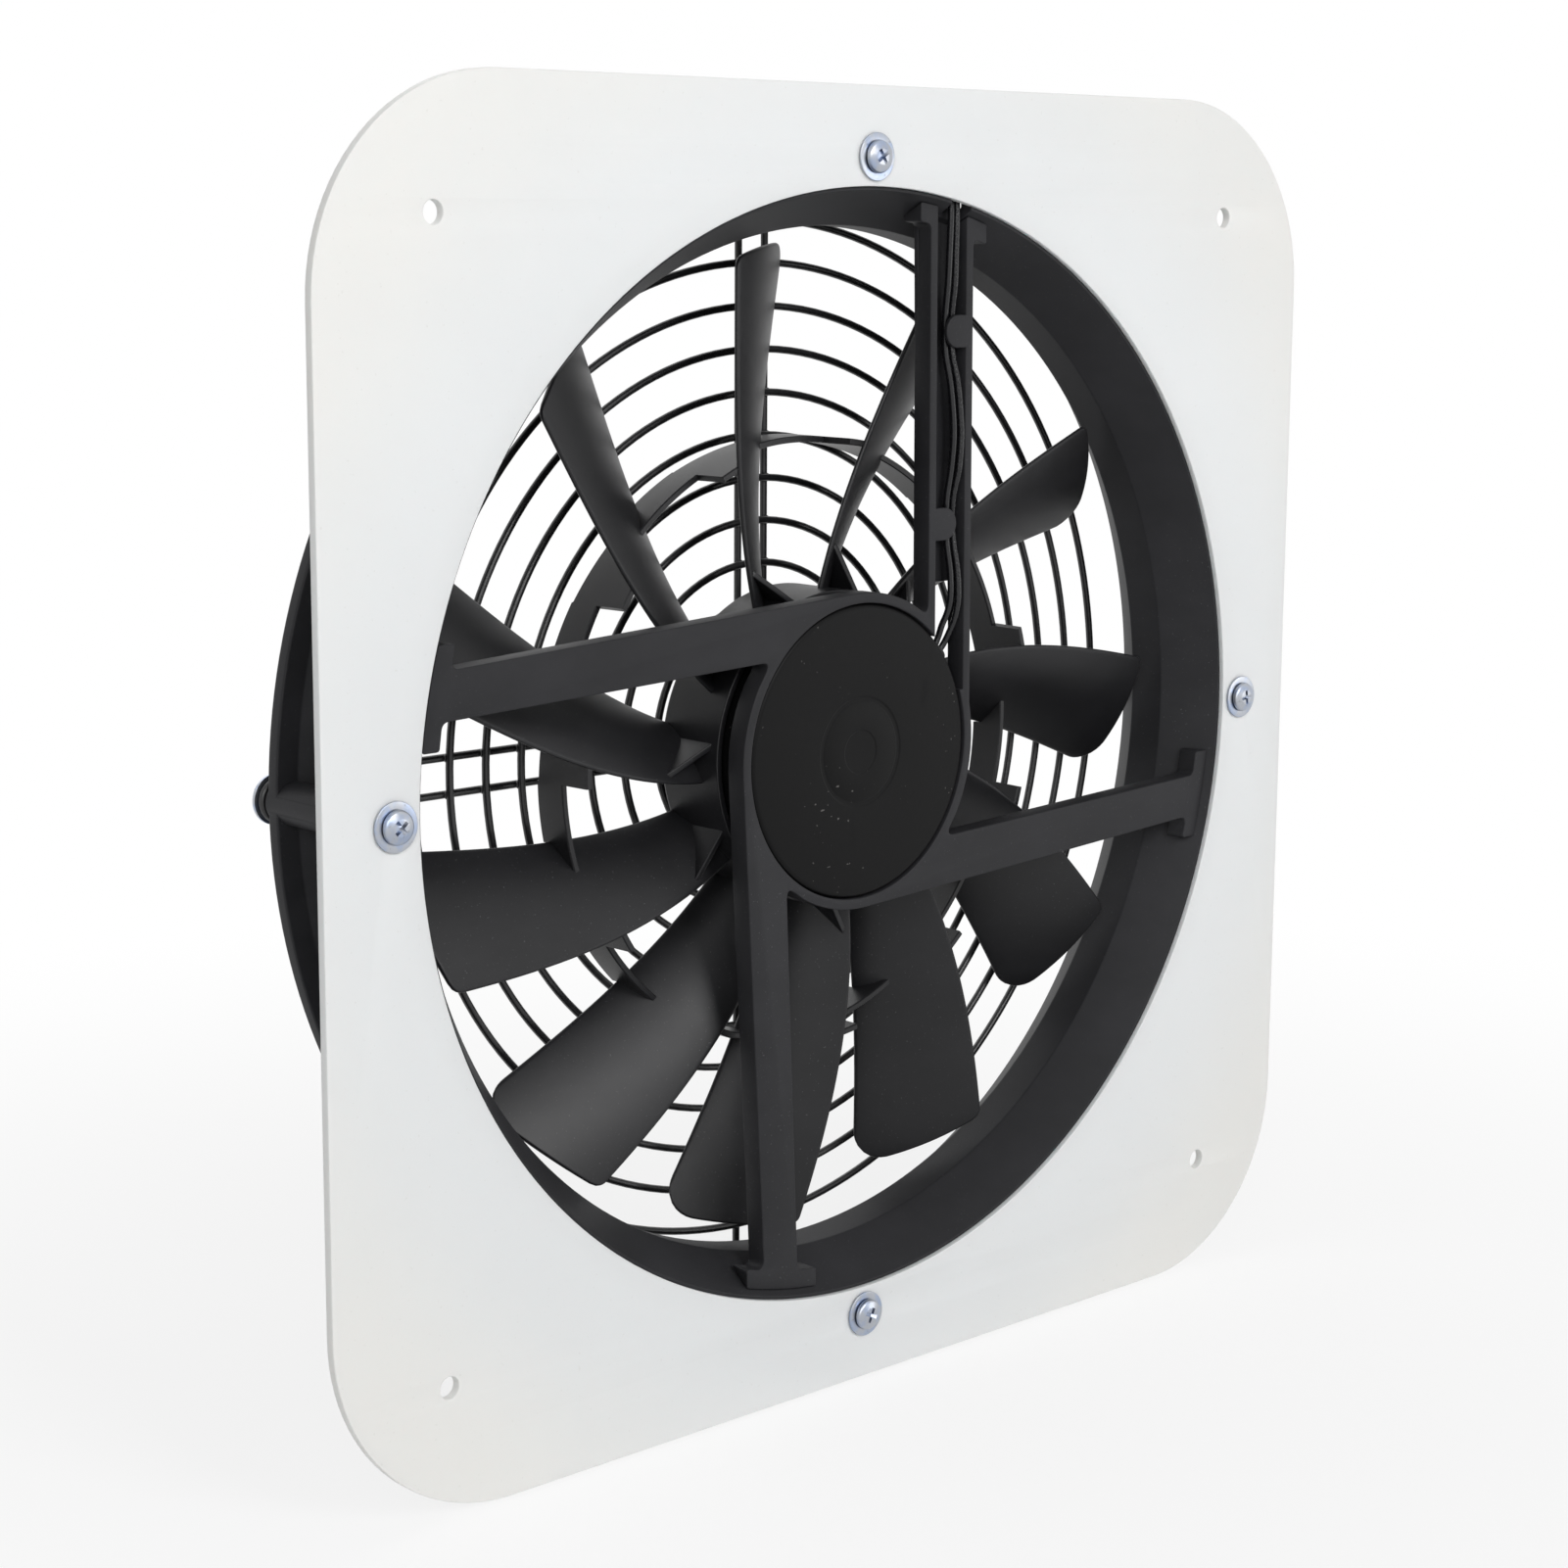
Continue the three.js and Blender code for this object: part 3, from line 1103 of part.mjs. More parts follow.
// ---- leads, grommet and connector -------------------------------------------------------------------
// The leads wave from side to side under the two tabs of the channel, as [x, y, z]. The points
// are drawn for a connector at this height and a channel this far out: above the upper tab they
// stretch with the shroud, and below the bend into the motor they move out with its wall.
const LEAD_DRAWN_TOP = 169;
const LEAD_DRAWN_OFFSET = 47.4;
const LEAD_BEND_TOP = 44;
const LEAD_BEND_HEIGHT = 20;
const leadB = [
  [39.6, 9.6, 169], [39.6, 7.2, 169], [39.6, 4.6, 168.3], [39.6, 2.4, 166], [39.6, 1.6, 162],
  [39.3, 1.5, 150], [39.3, 1.7, 140], [39.4, 2.8, 132], [39.6, 3.4, 125], [39.9, 2.8, 118],
  [41.0, 1.6, 110], [41.9, 1.0, 100], [42.2, 0.9, 92], [41.8, 1.4, 83], [41.2, 2.9, 75],
  [41.4, 3.5, 67], [41.6, 2.8, 60], [42.1, 1.6, 52], [42.3, 1.3, 44], [42.1, 2.2, 38],
  [41.6, 4.0, 33.2], [40.6, 5.5, 29.3], [39.0, 6.1, 27.0], [37.1, 6.2, 25.5], [34.9, 6.3, 23.9],
  [33.4, 7.2, 22.8], [32.8, 9.2, 22.4], [32.7, 12, 22.3], [32.7, 18, 22.3], [32.7, 27.3, 22.3],
];
const leadA = [
  [37.2, 9.6, 169], [37.2, 7.2, 169], [37.2, 4.6, 168.3], [37.2, 2.4, 166], [37.2, 1.7, 162],
  [36.9, 1.8, 150], [36.8, 2.2, 140], [36.9, 3.2, 132], [37.1, 3.6, 125], [37.4, 3.4, 118],
  [38.6, 2.4, 110], [39.5, 1.8, 100], [39.8, 1.8, 92], [39.4, 2.4, 83], [38.7, 3.3, 75],
  [38.8, 3.7, 67], [39.1, 3.4, 60], [39.7, 2.4, 52], [39.8, 2.2, 44], [39.4, 3.2, 39],
  [38.9, 4.8, 35.2], [38.4, 5.8, 31.6], [37.2, 6.2, 28.7], [35.5, 6.2, 27.3], [33.5, 6.3, 25.9],
  [32.0, 7.2, 24.8], [31.4, 9.2, 24.3], [31.3, 12, 24.3], [31.3, 18, 24.3], [31.3, 27.3, 24.3],
];

function fittedPoint([x, y, z]) {
  const stretch = (CONNECTOR_Z - UPPER_TAB_Z) / (LEAD_DRAWN_TOP - UPPER_TAB_Z);
  const top = Math.max(z - UPPER_TAB_Z, 0);
  const outward = CHANNEL_OFFSET - LEAD_DRAWN_OFFSET;
  const bent = THREE.MathUtils.clamp((LEAD_BEND_TOP - z) / LEAD_BEND_HEIGHT, 0, 1);
  const alongX = 1 + bent * (Math.cos(entryAngle) - 1);
  const alongZ = bent * Math.sin(entryAngle);
  return new THREE.Vector3(x + outward * alongX, y, z + top * (stretch - 1) + outward * alongZ);
}

function lead(points) {
  const curve = new THREE.CatmullRomCurve3(points.map(fittedPoint));
  return tubeAlong(curve, LEAD_RADIUS, 6, 40);
}
place('lead_wire_a', bare(lead(leadA)), leadSheath);
place('lead_wire_b', bare(lead(leadB)), leadSheath);

function leadGrommet() {
  const flangeBase = MOTOR_RADIUS + GAP;
  const sleeveBase = canInner - 0.4;
  const sleeve = turned([
    [GROMMET_BORE, sleeveBase],
    [GROMMET_RADIUS, sleeveBase],
    [GROMMET_RADIUS, flangeBase],
    [GROMMET_RADIUS + 0.9, flangeBase],
    [GROMMET_RADIUS + 0.9, flangeBase + GROMMET_FLANGE],
    [GROMMET_BORE, flangeBase + GROMMET_FLANGE],
  ], SMALL_SEGMENTS);
  sleeve.rotateZ(-Math.PI / 2);
  sleeve.translate(0, LEAD_ENTRY_Y, 0);
  return bare(towardsEntry(sleeve));
}
place('lead_grommet', leadGrommet(), rubber);

function leadConnector() {
  const half = CONNECTOR_WIDTH / 2;
  const top = CONNECTOR_Z + CONNECTOR_HEIGHT / 2;
  const back = CONNECTOR_FRONT + CONNECTOR_LENGTH;
  const low = [CONNECTOR_X - half, CONNECTOR_FRONT, connectorBase];
  let body = solid(blockBetween(low, [CONNECTOR_X + half, back, top]));
  const latchLow = [CONNECTOR_X - LATCH_WIDTH / 2, CONNECTOR_FRONT + LATCH_INSET, top - 0.2];
  const latchHigh = [CONNECTOR_X + LATCH_WIDTH / 2, back - LATCH_INSET, top + LATCH_HEIGHT];
  body = body.add(solid(blockBetween(latchLow, latchHigh)));
  const middle = (leadA[0][0] + leadB[0][0]) / 2;
  for (const x of [middle - LEAD_PITCH / 2, middle + LEAD_PITCH / 2]) {
    const socket = rodAlongY(LEAD_RADIUS - 0.2, back - LATCH_INSET, back + 1, x, CONNECTOR_Z, 8);
    body = body.subtract(solid(socket));
  }
  return body;
}
place('lead_connector', leadConnector(), nylon);

export default fan;
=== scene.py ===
"""Window exhaust fan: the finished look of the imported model.

Lengths in this file are millimetres unless a name or comment says otherwise, and are turned
into metres where a mesh is made. +X is right, +Y is outdoors, +Z is up, and the fan turns
about the Y axis; Y = 0 is the back face of the window plate.
"""
import math

import bmesh
import bpy
from mathutils import Matrix, Vector


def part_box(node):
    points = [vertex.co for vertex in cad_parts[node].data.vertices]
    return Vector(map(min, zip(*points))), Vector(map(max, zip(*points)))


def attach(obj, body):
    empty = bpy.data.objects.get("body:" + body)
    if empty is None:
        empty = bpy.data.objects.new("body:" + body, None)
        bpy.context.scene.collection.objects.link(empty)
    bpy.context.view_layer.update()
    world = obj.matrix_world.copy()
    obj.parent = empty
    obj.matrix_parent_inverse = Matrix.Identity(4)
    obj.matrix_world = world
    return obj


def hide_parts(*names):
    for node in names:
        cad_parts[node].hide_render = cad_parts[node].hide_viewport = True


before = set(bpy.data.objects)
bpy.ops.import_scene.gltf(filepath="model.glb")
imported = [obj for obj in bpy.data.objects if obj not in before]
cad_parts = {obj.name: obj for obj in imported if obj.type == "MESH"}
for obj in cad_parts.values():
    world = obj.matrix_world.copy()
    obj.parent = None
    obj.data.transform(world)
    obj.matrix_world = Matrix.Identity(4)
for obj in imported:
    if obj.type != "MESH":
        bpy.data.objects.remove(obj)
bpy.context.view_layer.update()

bl_info = {
    "name": "Window Exhaust Fan",
    "version": (1, 0, 0),
    "blender": (4, 5, 0),
    "location": "View3D > Sidebar > Fan",
    "description": "Builds the pieces, finishes and stage of a window exhaust fan",
    "category": "Object",
}

MM = 0.001
SIDES = ("top", "right", "bottom", "left")
GAP = 0.3


# ---- user sizes and colours ----------------------------------------------------------------------
def node_size(node, axis):
    low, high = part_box(node)
    return high[axis] - low[axis]


def length(name, description, default):
    return bpy.props.FloatProperty(
        name=name, description=description, default=default, min=0.0001, unit="LENGTH", precision=4)


def colour(name, description, default):
    return bpy.props.FloatVectorProperty(
        name=name, description=description, default=default, size=3, min=0, max=1, subtype="COLOR")


class FanSizes(bpy.types.PropertyGroup):
    """Sizes of the fan, in metres."""

    plate_width: length("Plate width", "Width of the plate", node_size("mounting_panel", 0))
    plate_height: length("Plate height", "Height of the plate", node_size("mounting_panel", 2))
    plate_corner: length("Plate corner", "Radius of the plate's corners", 0.060)
    plate_thickness: length("Plate thickness", "Depth of the plate", node_size("mounting_panel", 1))
    opening_radius: length("Opening radius", "Radius of the plate's round opening", 0.1685)
    throat_radius: length("Throat radius", "Inside radius of the shroud round the blades", 0.1572)
    tip_radius: length("Tip radius", "Radius of the rotor's blade tips", 0.152)
    hub_radius: length("Hub radius", "Outside radius of the rotor's hub cup", 0.0483)
    motor_radius: length("Motor radius", "Outside radius of the motor case", 0.045)
    guard_wire: length("Guard wire", "Radius of the wire of the guard's rings", 0.001175)
    lead_radius: length("Lead radius", "Radius of one lead wire", 0.001)


class FanColours(bpy.types.PropertyGroup):
    """Main colours of the fan."""

    plate: colour("Plate", "Colour of the milky window plate", (0.80, 0.815, 0.82))
    plate_edge: colour("Plate edge", "Colour of the plate near its outer edge", (0.83, 0.825, 0.80))
    moulding: colour("Moulding", "Colour of the shroud, spider and rotor", (0.0195, 0.0195, 0.0218))
    paint: colour("Paint", "Colour of the painted motor case", (0.0045, 0.0045, 0.0047))
    wire: colour("Wire", "Colour of the coated guard wires", (0.008, 0.008, 0.009))
    zinc: colour("Zinc", "Colour of the zinc-plated fasteners", (0.44, 0.46, 0.50))


def size(name):
    return getattr(bpy.context.scene.fan_sizes, name) / MM


def tint(name):
    return (*getattr(bpy.context.scene.fan_colours, name), 1)


# ---- outlines ------------------------------------------------------------------------------------
def rounded(corners, radius, steps=5):
    """A closed outline whose corners give way to curves; radius is one number or one per corner."""
    count = len(corners)
    radii = radius if isinstance(radius, (list, tuple)) else [radius] * count
    outline = []
    for number, corner in enumerate(corners):
        here = Vector(corner)
        before = Vector(corners[number - 1]) - here
        after = Vector(corners[(number + 1) % count]) - here
        if radii[number] <= 0:
            outline.append(tuple(here))
            continue
        half = before.angle(after) / 2
        reach = min(radii[number] / math.tan(half), 0.47 * before.length, 0.47 * after.length)
        start = here + before.normalized() * reach
        end = here + after.normalized() * reach
        for step in range(steps + 1):
            share = step / steps
            point = (1 - share) ** 2 * start + 2 * share * (1 - share) * here + share ** 2 * end
            outline.append(tuple(point))
    return outline


def softened(corners, steps):
    """An outline drawn by (x, y, corner radius) entries."""
    return rounded([corner[:2] for corner in corners], [corner[2] for corner in corners], steps)


def arc(radius, start, end, steps, centre=(0, 0)):
    """Points on a circle between two angles in degrees."""
    points = []
    for step in range(steps + 1):
        angle = math.radians(start + (end - start) * step / steps)
        points.append((centre[0] + radius * math.cos(angle), centre[1] + radius * math.sin(angle)))
    return points


def circle(radius, steps=96, centre=(0, 0)):
    return arc(radius, 0, 360, steps, centre)[:-1]


def inset(outline, amount):
    """The outline moved inwards by an amount."""
    count = len(outline)
    area = 0
    for number in range(count):
        (ax, ay), (bx, by) = outline[number], outline[(number + 1) % count]
        area += ax * by - bx * ay
    inward = math.copysign(amount, area)
    moved = []
    for number, (x, y) in enumerate(outline):
        px, py = outline[number - 1]
        nx, ny = outline[(number + 1) % count]
        first = Vector((py - y, x - px)).normalized()
        second = Vector((y - ny, nx - x)).normalized()
        share = inward / max(1 + first.dot(second), 0.35)
        moved.append((x + (first.x + second.x) * share, y + (first.y + second.y) * share))
    return moved


def quarter_turn(point, quarters):
    """A point turned clockwise, seen from the front, by a number of quarter turns about Y."""
    x, y, z = point
    for _ in range(quarters % 4):
        x, z = z, -x
    return x, y, z


# ---- meshes --------------------------------------------------------------------------------------
def ring_faces(rings, corners, closed=True):
    """Faces between rings of points, from each ring to the next."""
    faces = []
    for ring in range(rings if closed else rings - 1):
        base = ring * corners
        following = ((ring + 1) % rings) * corners
        for i in range(corners):
            j = (i + 1) % corners
            faces.append((base + i, base + j, following + j, following + i))
    return faces


class Shells:
    """Closed shells, in millimetres, that become one mesh."""

    def __init__(self):
        self.points = []
        self.faces = []

    def add(self, points, faces, place=None):
        base = len(self.points)
        self.points.extend(place(point) if place else point for point in points)
        self.faces.extend(tuple(base + corner for corner in face) for face in faces)

    def turned(self, profile, segments=96, place=None):
        """A closed (radius, y) profile turned about Y."""
        points = []
        faces = []
        count = len(profile)
        for step in range(segments):
            angle = 2 * math.pi * step / segments
            points += [(r * math.cos(angle), y, r * math.sin(angle)) for r, y in profile]
            base = step * count
            following = ((step + 1) % segments) * count
            for i in range(count):
                j = (i + 1) % count
                if max(profile[i][0], profile[j][0]) > 1e-6:
                    faces.append((base + i, base + j, following + j, following + i))
        self.add(points, faces, place)

    def slab(self, outline, front, back, edge=0.4, place=None):
        """A flat outline in X and Z between two depths, with rounded edges."""
        count = len(outline)
        levels = []
        for step in (0, 1, 2, 3):
            angle = math.pi / 6 * step
            levels.append((edge * (1 - math.sin(angle)), front + edge * (1 - math.cos(angle))))
        levels += [(amount, front + back - y) for amount, y in reversed(levels)]
        points = []
        for amount, y in levels:
            ring = inset(outline, amount) if amount > 1e-6 else outline
            points += [(x, y, z) for x, z in ring]
        faces = [tuple(range(count)), tuple(range(len(points) - count, len(points)))]
        self.add(points, faces + ring_faces(len(levels), count, False), place)

    def block(self, low, high, edge=0.3, place=None):
        (x0, y0, z0), (x1, y1, z1) = low, high
        corners = [(x0, z0), (x1, z0), (x1, z1), (x0, z1)]
        self.slab(rounded(corners, 1.7 * edge, 4), y0, y1, edge, place)

    def tube(self, path, radius, sides=10, closed=False, place=None):
        """A round wire along a path of points; an open one gets closed, slightly rounded ends."""
        path = [Vector(point) for point in path]
        count = len(path)
        rings = []
        frame_x = None
        for number, point in enumerate(path):
            if closed:
                along = path[(number + 1) % count] - path[number - 1]
            else:
                along = path[min(number + 1, count - 1)] - path[max(number - 1, 0)]
            along.normalize()
            if frame_x is None:
                frame_x = along.orthogonal().normalized()
            frame_x = (frame_x - along * frame_x.dot(along)).normalized()
            frame_y = along.cross(frame_x)
            rings.append((point, frame_x.copy(), frame_y, along, 1.0))
        if not closed:
            first, last = rings[0], rings[-1]
            rings[0] = (first[0] + first[3] * 0.25 * radius, *first[1:])
            rings[-1] = (last[0] - last[3] * 0.25 * radius, *last[1:])
            rings.insert(0, (*first[:4], 0.75))
            rings.append((*last[:4], 0.75))
        points = []
        for point, across, up, _, share in rings:
            for side in range(sides):
                angle = 2 * math.pi * side / sides
                offset = across * math.cos(angle) + up * math.sin(angle)
                points.append(tuple(point + offset * radius * share))
        faces = ring_faces(len(rings), sides, closed)
        if not closed:
            faces.append(tuple(range(sides)))
            faces.append(tuple(range(len(points) - sides, len(points))))
        self.add(points, faces, place)

    def mesh(self, name):
        mesh = bpy.data.meshes.new(name)
        mesh.from_pydata([Vector(point) * MM for point in self.points], [], self.faces)
        tidy_mesh(mesh)
        return mesh


def tidy_mesh(mesh, angle=35):
    """Merges doubled points, turns all faces outwards and shades the mesh by its edge angles."""
    shape = bmesh.new()
    shape.from_mesh(mesh)
    bmesh.ops.remove_doubles(shape, verts=shape.verts, dist=0.001 * MM)
    bmesh.ops.recalc_face_normals(shape, faces=shape.faces)
    shape.to_mesh(mesh)
    shape.free()
    mesh.shade_smooth()
    mesh.set_sharp_from_angle(angle=math.radians(angle))


def stand_in(mesh):
    obj = bpy.data.objects.new(mesh.name, mesh)
    bpy.context.scene.collection.objects.link(obj)
    return obj


def evaluated_mesh(obj, name):
    """The mesh of an object with its modifiers or curve settings applied; the object goes."""
    bpy.context.view_layer.update()
    shape = obj.evaluated_get(bpy.context.evaluated_depsgraph_get())
    mesh = bpy.data.meshes.new_from_object(shape)
    mesh.name = name
    bpy.data.objects.remove(obj)
    return mesh


def carved(base, cutters=(), added=()):
    """A mesh joined with some closed meshes and then cut by others."""
    obj = stand_in(base)
    helpers = []
    for operation, meshes in (("UNION", added), ("DIFFERENCE", cutters)):
        for mesh in meshes:
            helper = stand_in(mesh)
            helpers.append(helper)
            step = obj.modifiers.new(operation, "BOOLEAN")
            step.operation = operation
            step.solver = "EXACT"
            step.object = helper
    mesh = evaluated_mesh(obj, base.name)
    for helper in helpers:
        bpy.data.objects.remove(helper)
    tidy_mesh(mesh)
    return mesh


def one_shell(name, build):
    shells = Shells()
    build(shells)
    return shells.mesh(name)


def flat_piece(name, outlines, front, back, edge):
    """A flat piece with holes: the first outline is its rim and the others are its holes."""
    curve = bpy.data.curves.new(name, "CURVE")
    curve.dimensions = "2D"
    curve.fill_mode = "BOTH"
    curve.extrude = ((back - front) / 2 - edge) * MM
    curve.bevel_depth = edge * MM
    curve.bevel_resolution = 3
    curve.offset = -edge * MM
    for outline in outlines:
        spline = curve.splines.new("POLY")
        spline.points.add(len(outline) - 1)
        for point, (x, z) in zip(spline.points, outline):
            point.co = (x * MM, z * MM, 0, 1)
        spline.use_cyclic_u = True
    obj = bpy.data.objects.new(name, curve)
    bpy.context.scene.collection.objects.link(obj)
    mesh = evaluated_mesh(obj, name)
    upright = Matrix.Rotation(math.pi / 2, 4, "X")
    mesh.transform(Matrix.Translation((0, (front + back) / 2 * MM, 0)) @ upright)
    tidy_mesh(mesh, 40)
    return mesh


def put(name, mesh, slot, stands_for=(), body="fixed", finish_name=None):
    """Adds a finished piece that rides on a body and takes the place of some solids."""
    obj = stand_in(mesh)
    obj.name = name
    obj.data.materials.clear()
    obj.data.materials.append(finish(finish_name or slot))
    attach(obj, body)
    if stands_for:
        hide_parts(*stands_for)
    return obj


# ---- finishes ------------------------------------------------------------------------------------
class Wire:
    """A shader socket that takes part in Python expressions."""

    def __init__(self, tree, socket):
        self.tree = tree
        self.socket = socket

    def _math(self, operation, first, second):
        return self.tree.node("Math", {"operation": operation}, {0: first, 1: second})

    def __add__(self, other):
        return self._math("ADD", self, other)

    __radd__ = __add__

    def __sub__(self, other):
        return self._math("SUBTRACT", self, other)

    def __rsub__(self, other):
        return self._math("SUBTRACT", other, self)

    def __mul__(self, other):
        return self._math("MULTIPLY", self, other)

    __rmul__ = __mul__

    def __pow__(self, other):
        return self._math("POWER", self, other)

    def over(self, low, high):
        """0 below low, 1 above high, and a smooth rise between them."""
        sockets = {"Value": self, "From Min": low, "From Max": high}
        return self.tree.node("MapRange", {"interpolation_type": "SMOOTHSTEP"}, sockets)


class Tree:
    """A node tree whose nodes all come from one method."""

    def __init__(self, owner):
        owner.use_nodes = True
        self.nodes = owner.node_tree.nodes
        self.links = owner.node_tree.links

    def node(self, kind, settings=None, sockets=None, output=0):
        """Adds any node: its settings come first, then the values or links of its sockets."""
        made = self.nodes.new("ShaderNode" + kind)
        for name, value in (settings or {}).items():
            setattr(made, name, value)
        for name, value in (sockets or {}).items():
            self.feed(made.inputs[name], value)
        return Wire(self, made.outputs[output])

    def feed(self, socket, value):
        if isinstance(value, Wire):
            self.links.new(value.socket, socket)
        else:
            socket.default_value = value

    def wire(self, node, output=0):
        return Wire(self, node.outputs[output])


class Finish(Tree):
    """One material: a Principled shader and the nodes that feed it."""

    def __init__(self, name, constants):
        self.material = bpy.data.materials.new(name)
        super().__init__(self.material)
        self.shader = self.nodes["Principled BSDF"]
        for socket, value in constants.items():
            self.shader.inputs[socket].default_value = value

    def drive(self, **inputs):
        """Feeds the shader's sockets, written with underscores for spaces."""
        for name, value in inputs.items():
            self.feed(self.shader.inputs[name.replace("_", " ")], value)

    def place(self, stretch=(1, 1, 1)):
        """The point on the piece in metres, stretched along X, Y and Z."""
        point = self.node("TexCoord", output=3)
        return self.node("VectorMath", {"operation": "MULTIPLY"}, {0: point, 1: stretch})

    def noise(self, scale, detail=2, roughness=0.5, vector=None):
        sockets = {"Vector": vector or self.place(), "Scale": scale, "Detail": detail,
                   "Roughness": roughness}
        return self.node("TexNoise", {}, sockets)

    def mix(self, share, first, second):
        return self.node("Mix", {"data_type": "RGBA"}, {0: share, 6: first, 7: second}, output=2)

    def bump(self, height, distance, strength=1.0, onto=None):
        sockets = {"Height": height, "Distance": distance, "Strength": strength}
        if onto:
            sockets["Normal"] = onto
        return self.node("Bump", {}, sockets)


def scaled(shade, factor):
    return (*(min(1, part * factor) for part in shade[:3]), 1)


def milky_plate():
    made = Finish("milky_plastic", {
        "IOR": 1.47, "Subsurface Weight": 0.35, "Subsurface Radius": (0.9, 1.0, 1.0),
        "Subsurface Scale": 0.003})
    point = made.place()
    split = made.node("SeparateXYZ", {}, {0: point})
    x, z = split, made.wire(split.socket.node, 2)
    radius = (x * x + z * z) ** 0.5
    cloud = made.noise(14, 3, 0.55, point)
    outer = radius.over(0.180, 0.245)
    # painted shade: the plate is darker next to its opening, standing in for the dark shroud seen
    # through it
    near = 1 - radius.over(0.168, 0.178)
    body = made.mix(outer, tint("plate"), tint("plate_edge"))
    body = made.mix(near * 0.5, body, scaled(tint("plate"), 0.94))
    body = made.mix(cloud.over(0.35, 0.75) * 0.35, body, scaled(tint("plate"), 0.965))
    dust = made.noise(900, 1, 0.5, point).over(0.72, 0.8)
    body = made.mix(dust * 0.18, body, (0.55, 0.54, 0.50, 1))
    grain = made.noise(2600, 2, 0.6, point)
    waves = made.noise(32, 2, 0.5, point)
    made.drive(
        Base_Color=body,
        Roughness=0.33 + 0.16 * cloud,
        Normal=made.bump(grain, 0.00004, 0.35, onto=made.bump(waves, 0.0006, 0.25)))
    return made.material


MOULD_GRAIN = 2.2 / 0.00018 * 0.35


def moulded(name, shade, rough, shine):
    """Black moulded plastic with a fine spark grain, faint flow marks and a little dust."""
    made = Finish(name, {"IOR": 1.5, "Specular IOR Level": shine})
    point = made.place()
    grain = made.noise(MOULD_GRAIN, 3, 0.65, point)
    flow = made.noise(22, 4, 0.6, made.place((1, 1, 1.6)))
    patch = made.noise(9, 2, 0.5, point)
    dust = made.noise(1500, 1, 0.5, point).over(0.70, 0.80) * patch.over(0.40, 0.62)
    body = made.mix(flow.over(0.3, 0.8), scaled(shade, 0.82), scaled(shade, 1.3))
    body = made.mix(dust * 0.30, body, (0.16, 0.16, 0.17, 1))
    made.drive(
        Base_Color=body,
        Roughness=rough - 0.07 + 0.12 * flow + 0.06 * grain,
        Normal=made.bump(grain, 0.00006, 0.5))
    return made.material


def motor_paint():
    made = Finish("black_steel", {"IOR": 1.5, "Specular IOR Level": 0.1})
    point = made.place()
    region = made.noise(45, 1, 0.5, point).over(0.52, 0.66)
    specks = made.noise(900, 0, 0.5, point).over(0.80, 0.83) * region
    rubs = made.noise(60, 4, 0.7, made.place((1, 1, 0.3))).over(0.62, 0.75)
    peel = made.noise(700, 2, 0.5, point)
    body = made.mix(rubs * 0.3, tint("paint"), scaled(tint("paint"), 1.8))
    body = made.mix(specks * 0.7, body, (0.16, 0.155, 0.15, 1))
    made.drive(
        Base_Color=body,
        Roughness=0.46 + 0.14 * rubs - 0.05 * peel,
        Normal=made.bump(peel, 0.00008, 0.35))
    return made.material


def wire_coat():
    made = Finish("black_wire", {"IOR": 1.5, "Coat Weight": 0.15, "Coat Roughness": 0.2})
    point = made.place()
    lumps = made.noise(420, 2, 0.6, point)
    chips = made.noise(300, 3, 0.7, point).over(0.74, 0.78)
    made.drive(
        Base_Color=made.mix(chips * 0.5, tint("wire"), (0.10, 0.10, 0.10, 1)),
        Roughness=0.30 + 0.18 * lumps,
        Normal=made.bump(lumps, 0.00015, 0.5))
    return made.material


def zinc_plate():
    made = Finish("zinc_steel", {"Metallic": 1.0})
    point = made.place()
    hue = made.noise(230, 2, 0.5, point)
    brushed = made.noise(1600, 3, 0.6, made.place((1, 0.2, 1)))
    stain = made.noise(520, 3, 0.65, point).over(0.60, 0.75)
    body = made.mix(hue.over(0.4, 0.65), tint("zinc"), (0.36, 0.42, 0.55, 1))
    body = made.mix(stain * 0.6, body, (0.20, 0.20, 0.20, 1))
    made.drive(
        Base_Color=body,
        Roughness=0.22 + 0.18 * brushed + 0.18 * stain,
        Normal=made.bump(brushed, 0.00003, 0.4))
    return made.material


def metal(name, shade, rough):
    made = Finish(name, {"Metallic": 1.0})
    lines = made.noise(1500, 3, 0.6, made.place((1, 0.15, 1)))
    spots = made.noise(180, 3, 0.6)
    made.drive(
        Base_Color=made.mix(spots.over(0.45, 0.75), shade, scaled(shade, 0.72)),
        Roughness=rough - 0.06 + 0.16 * lines,
        Normal=made.bump(lines, 0.00003, 0.4))
    return made.material


def matt(name, shade, rough, fine=900, distance=0.00008):
    made = Finish(name, {"IOR": 1.48})
    grain = made.noise(fine, 3, 0.6)
    cloud = made.noise(120, 3, 0.6)
    made.drive(
        Base_Color=made.mix(cloud.over(0.35, 0.75), shade, scaled(shade, 1.35)),
        Roughness=rough - 0.05 + 0.12 * grain,
        Normal=made.bump(grain, distance, 0.5))
    return made.material


def layered(name, shade, rough, pitch, metallic):
    """Stacked sheets or turns of wire, seen as fine lines across Y."""
    made = Finish(name, {"Metallic": metallic})
    waves = made.node("TexWave", {"wave_type": "BANDS", "bands_direction": "Y"},
                      {"Vector": made.place(), "Scale": 0.05 / (pitch * MM), "Distortion": 0.6,
                       "Detail": 2.0}, output=1)
    cloud = made.noise(160, 3, 0.6)
    made.drive(
        Base_Color=made.mix(waves, scaled(shade, 0.6), shade),
        Roughness=rough + 0.14 * cloud,
        Normal=made.bump(waves, 0.00012, 0.6))
    return made.material


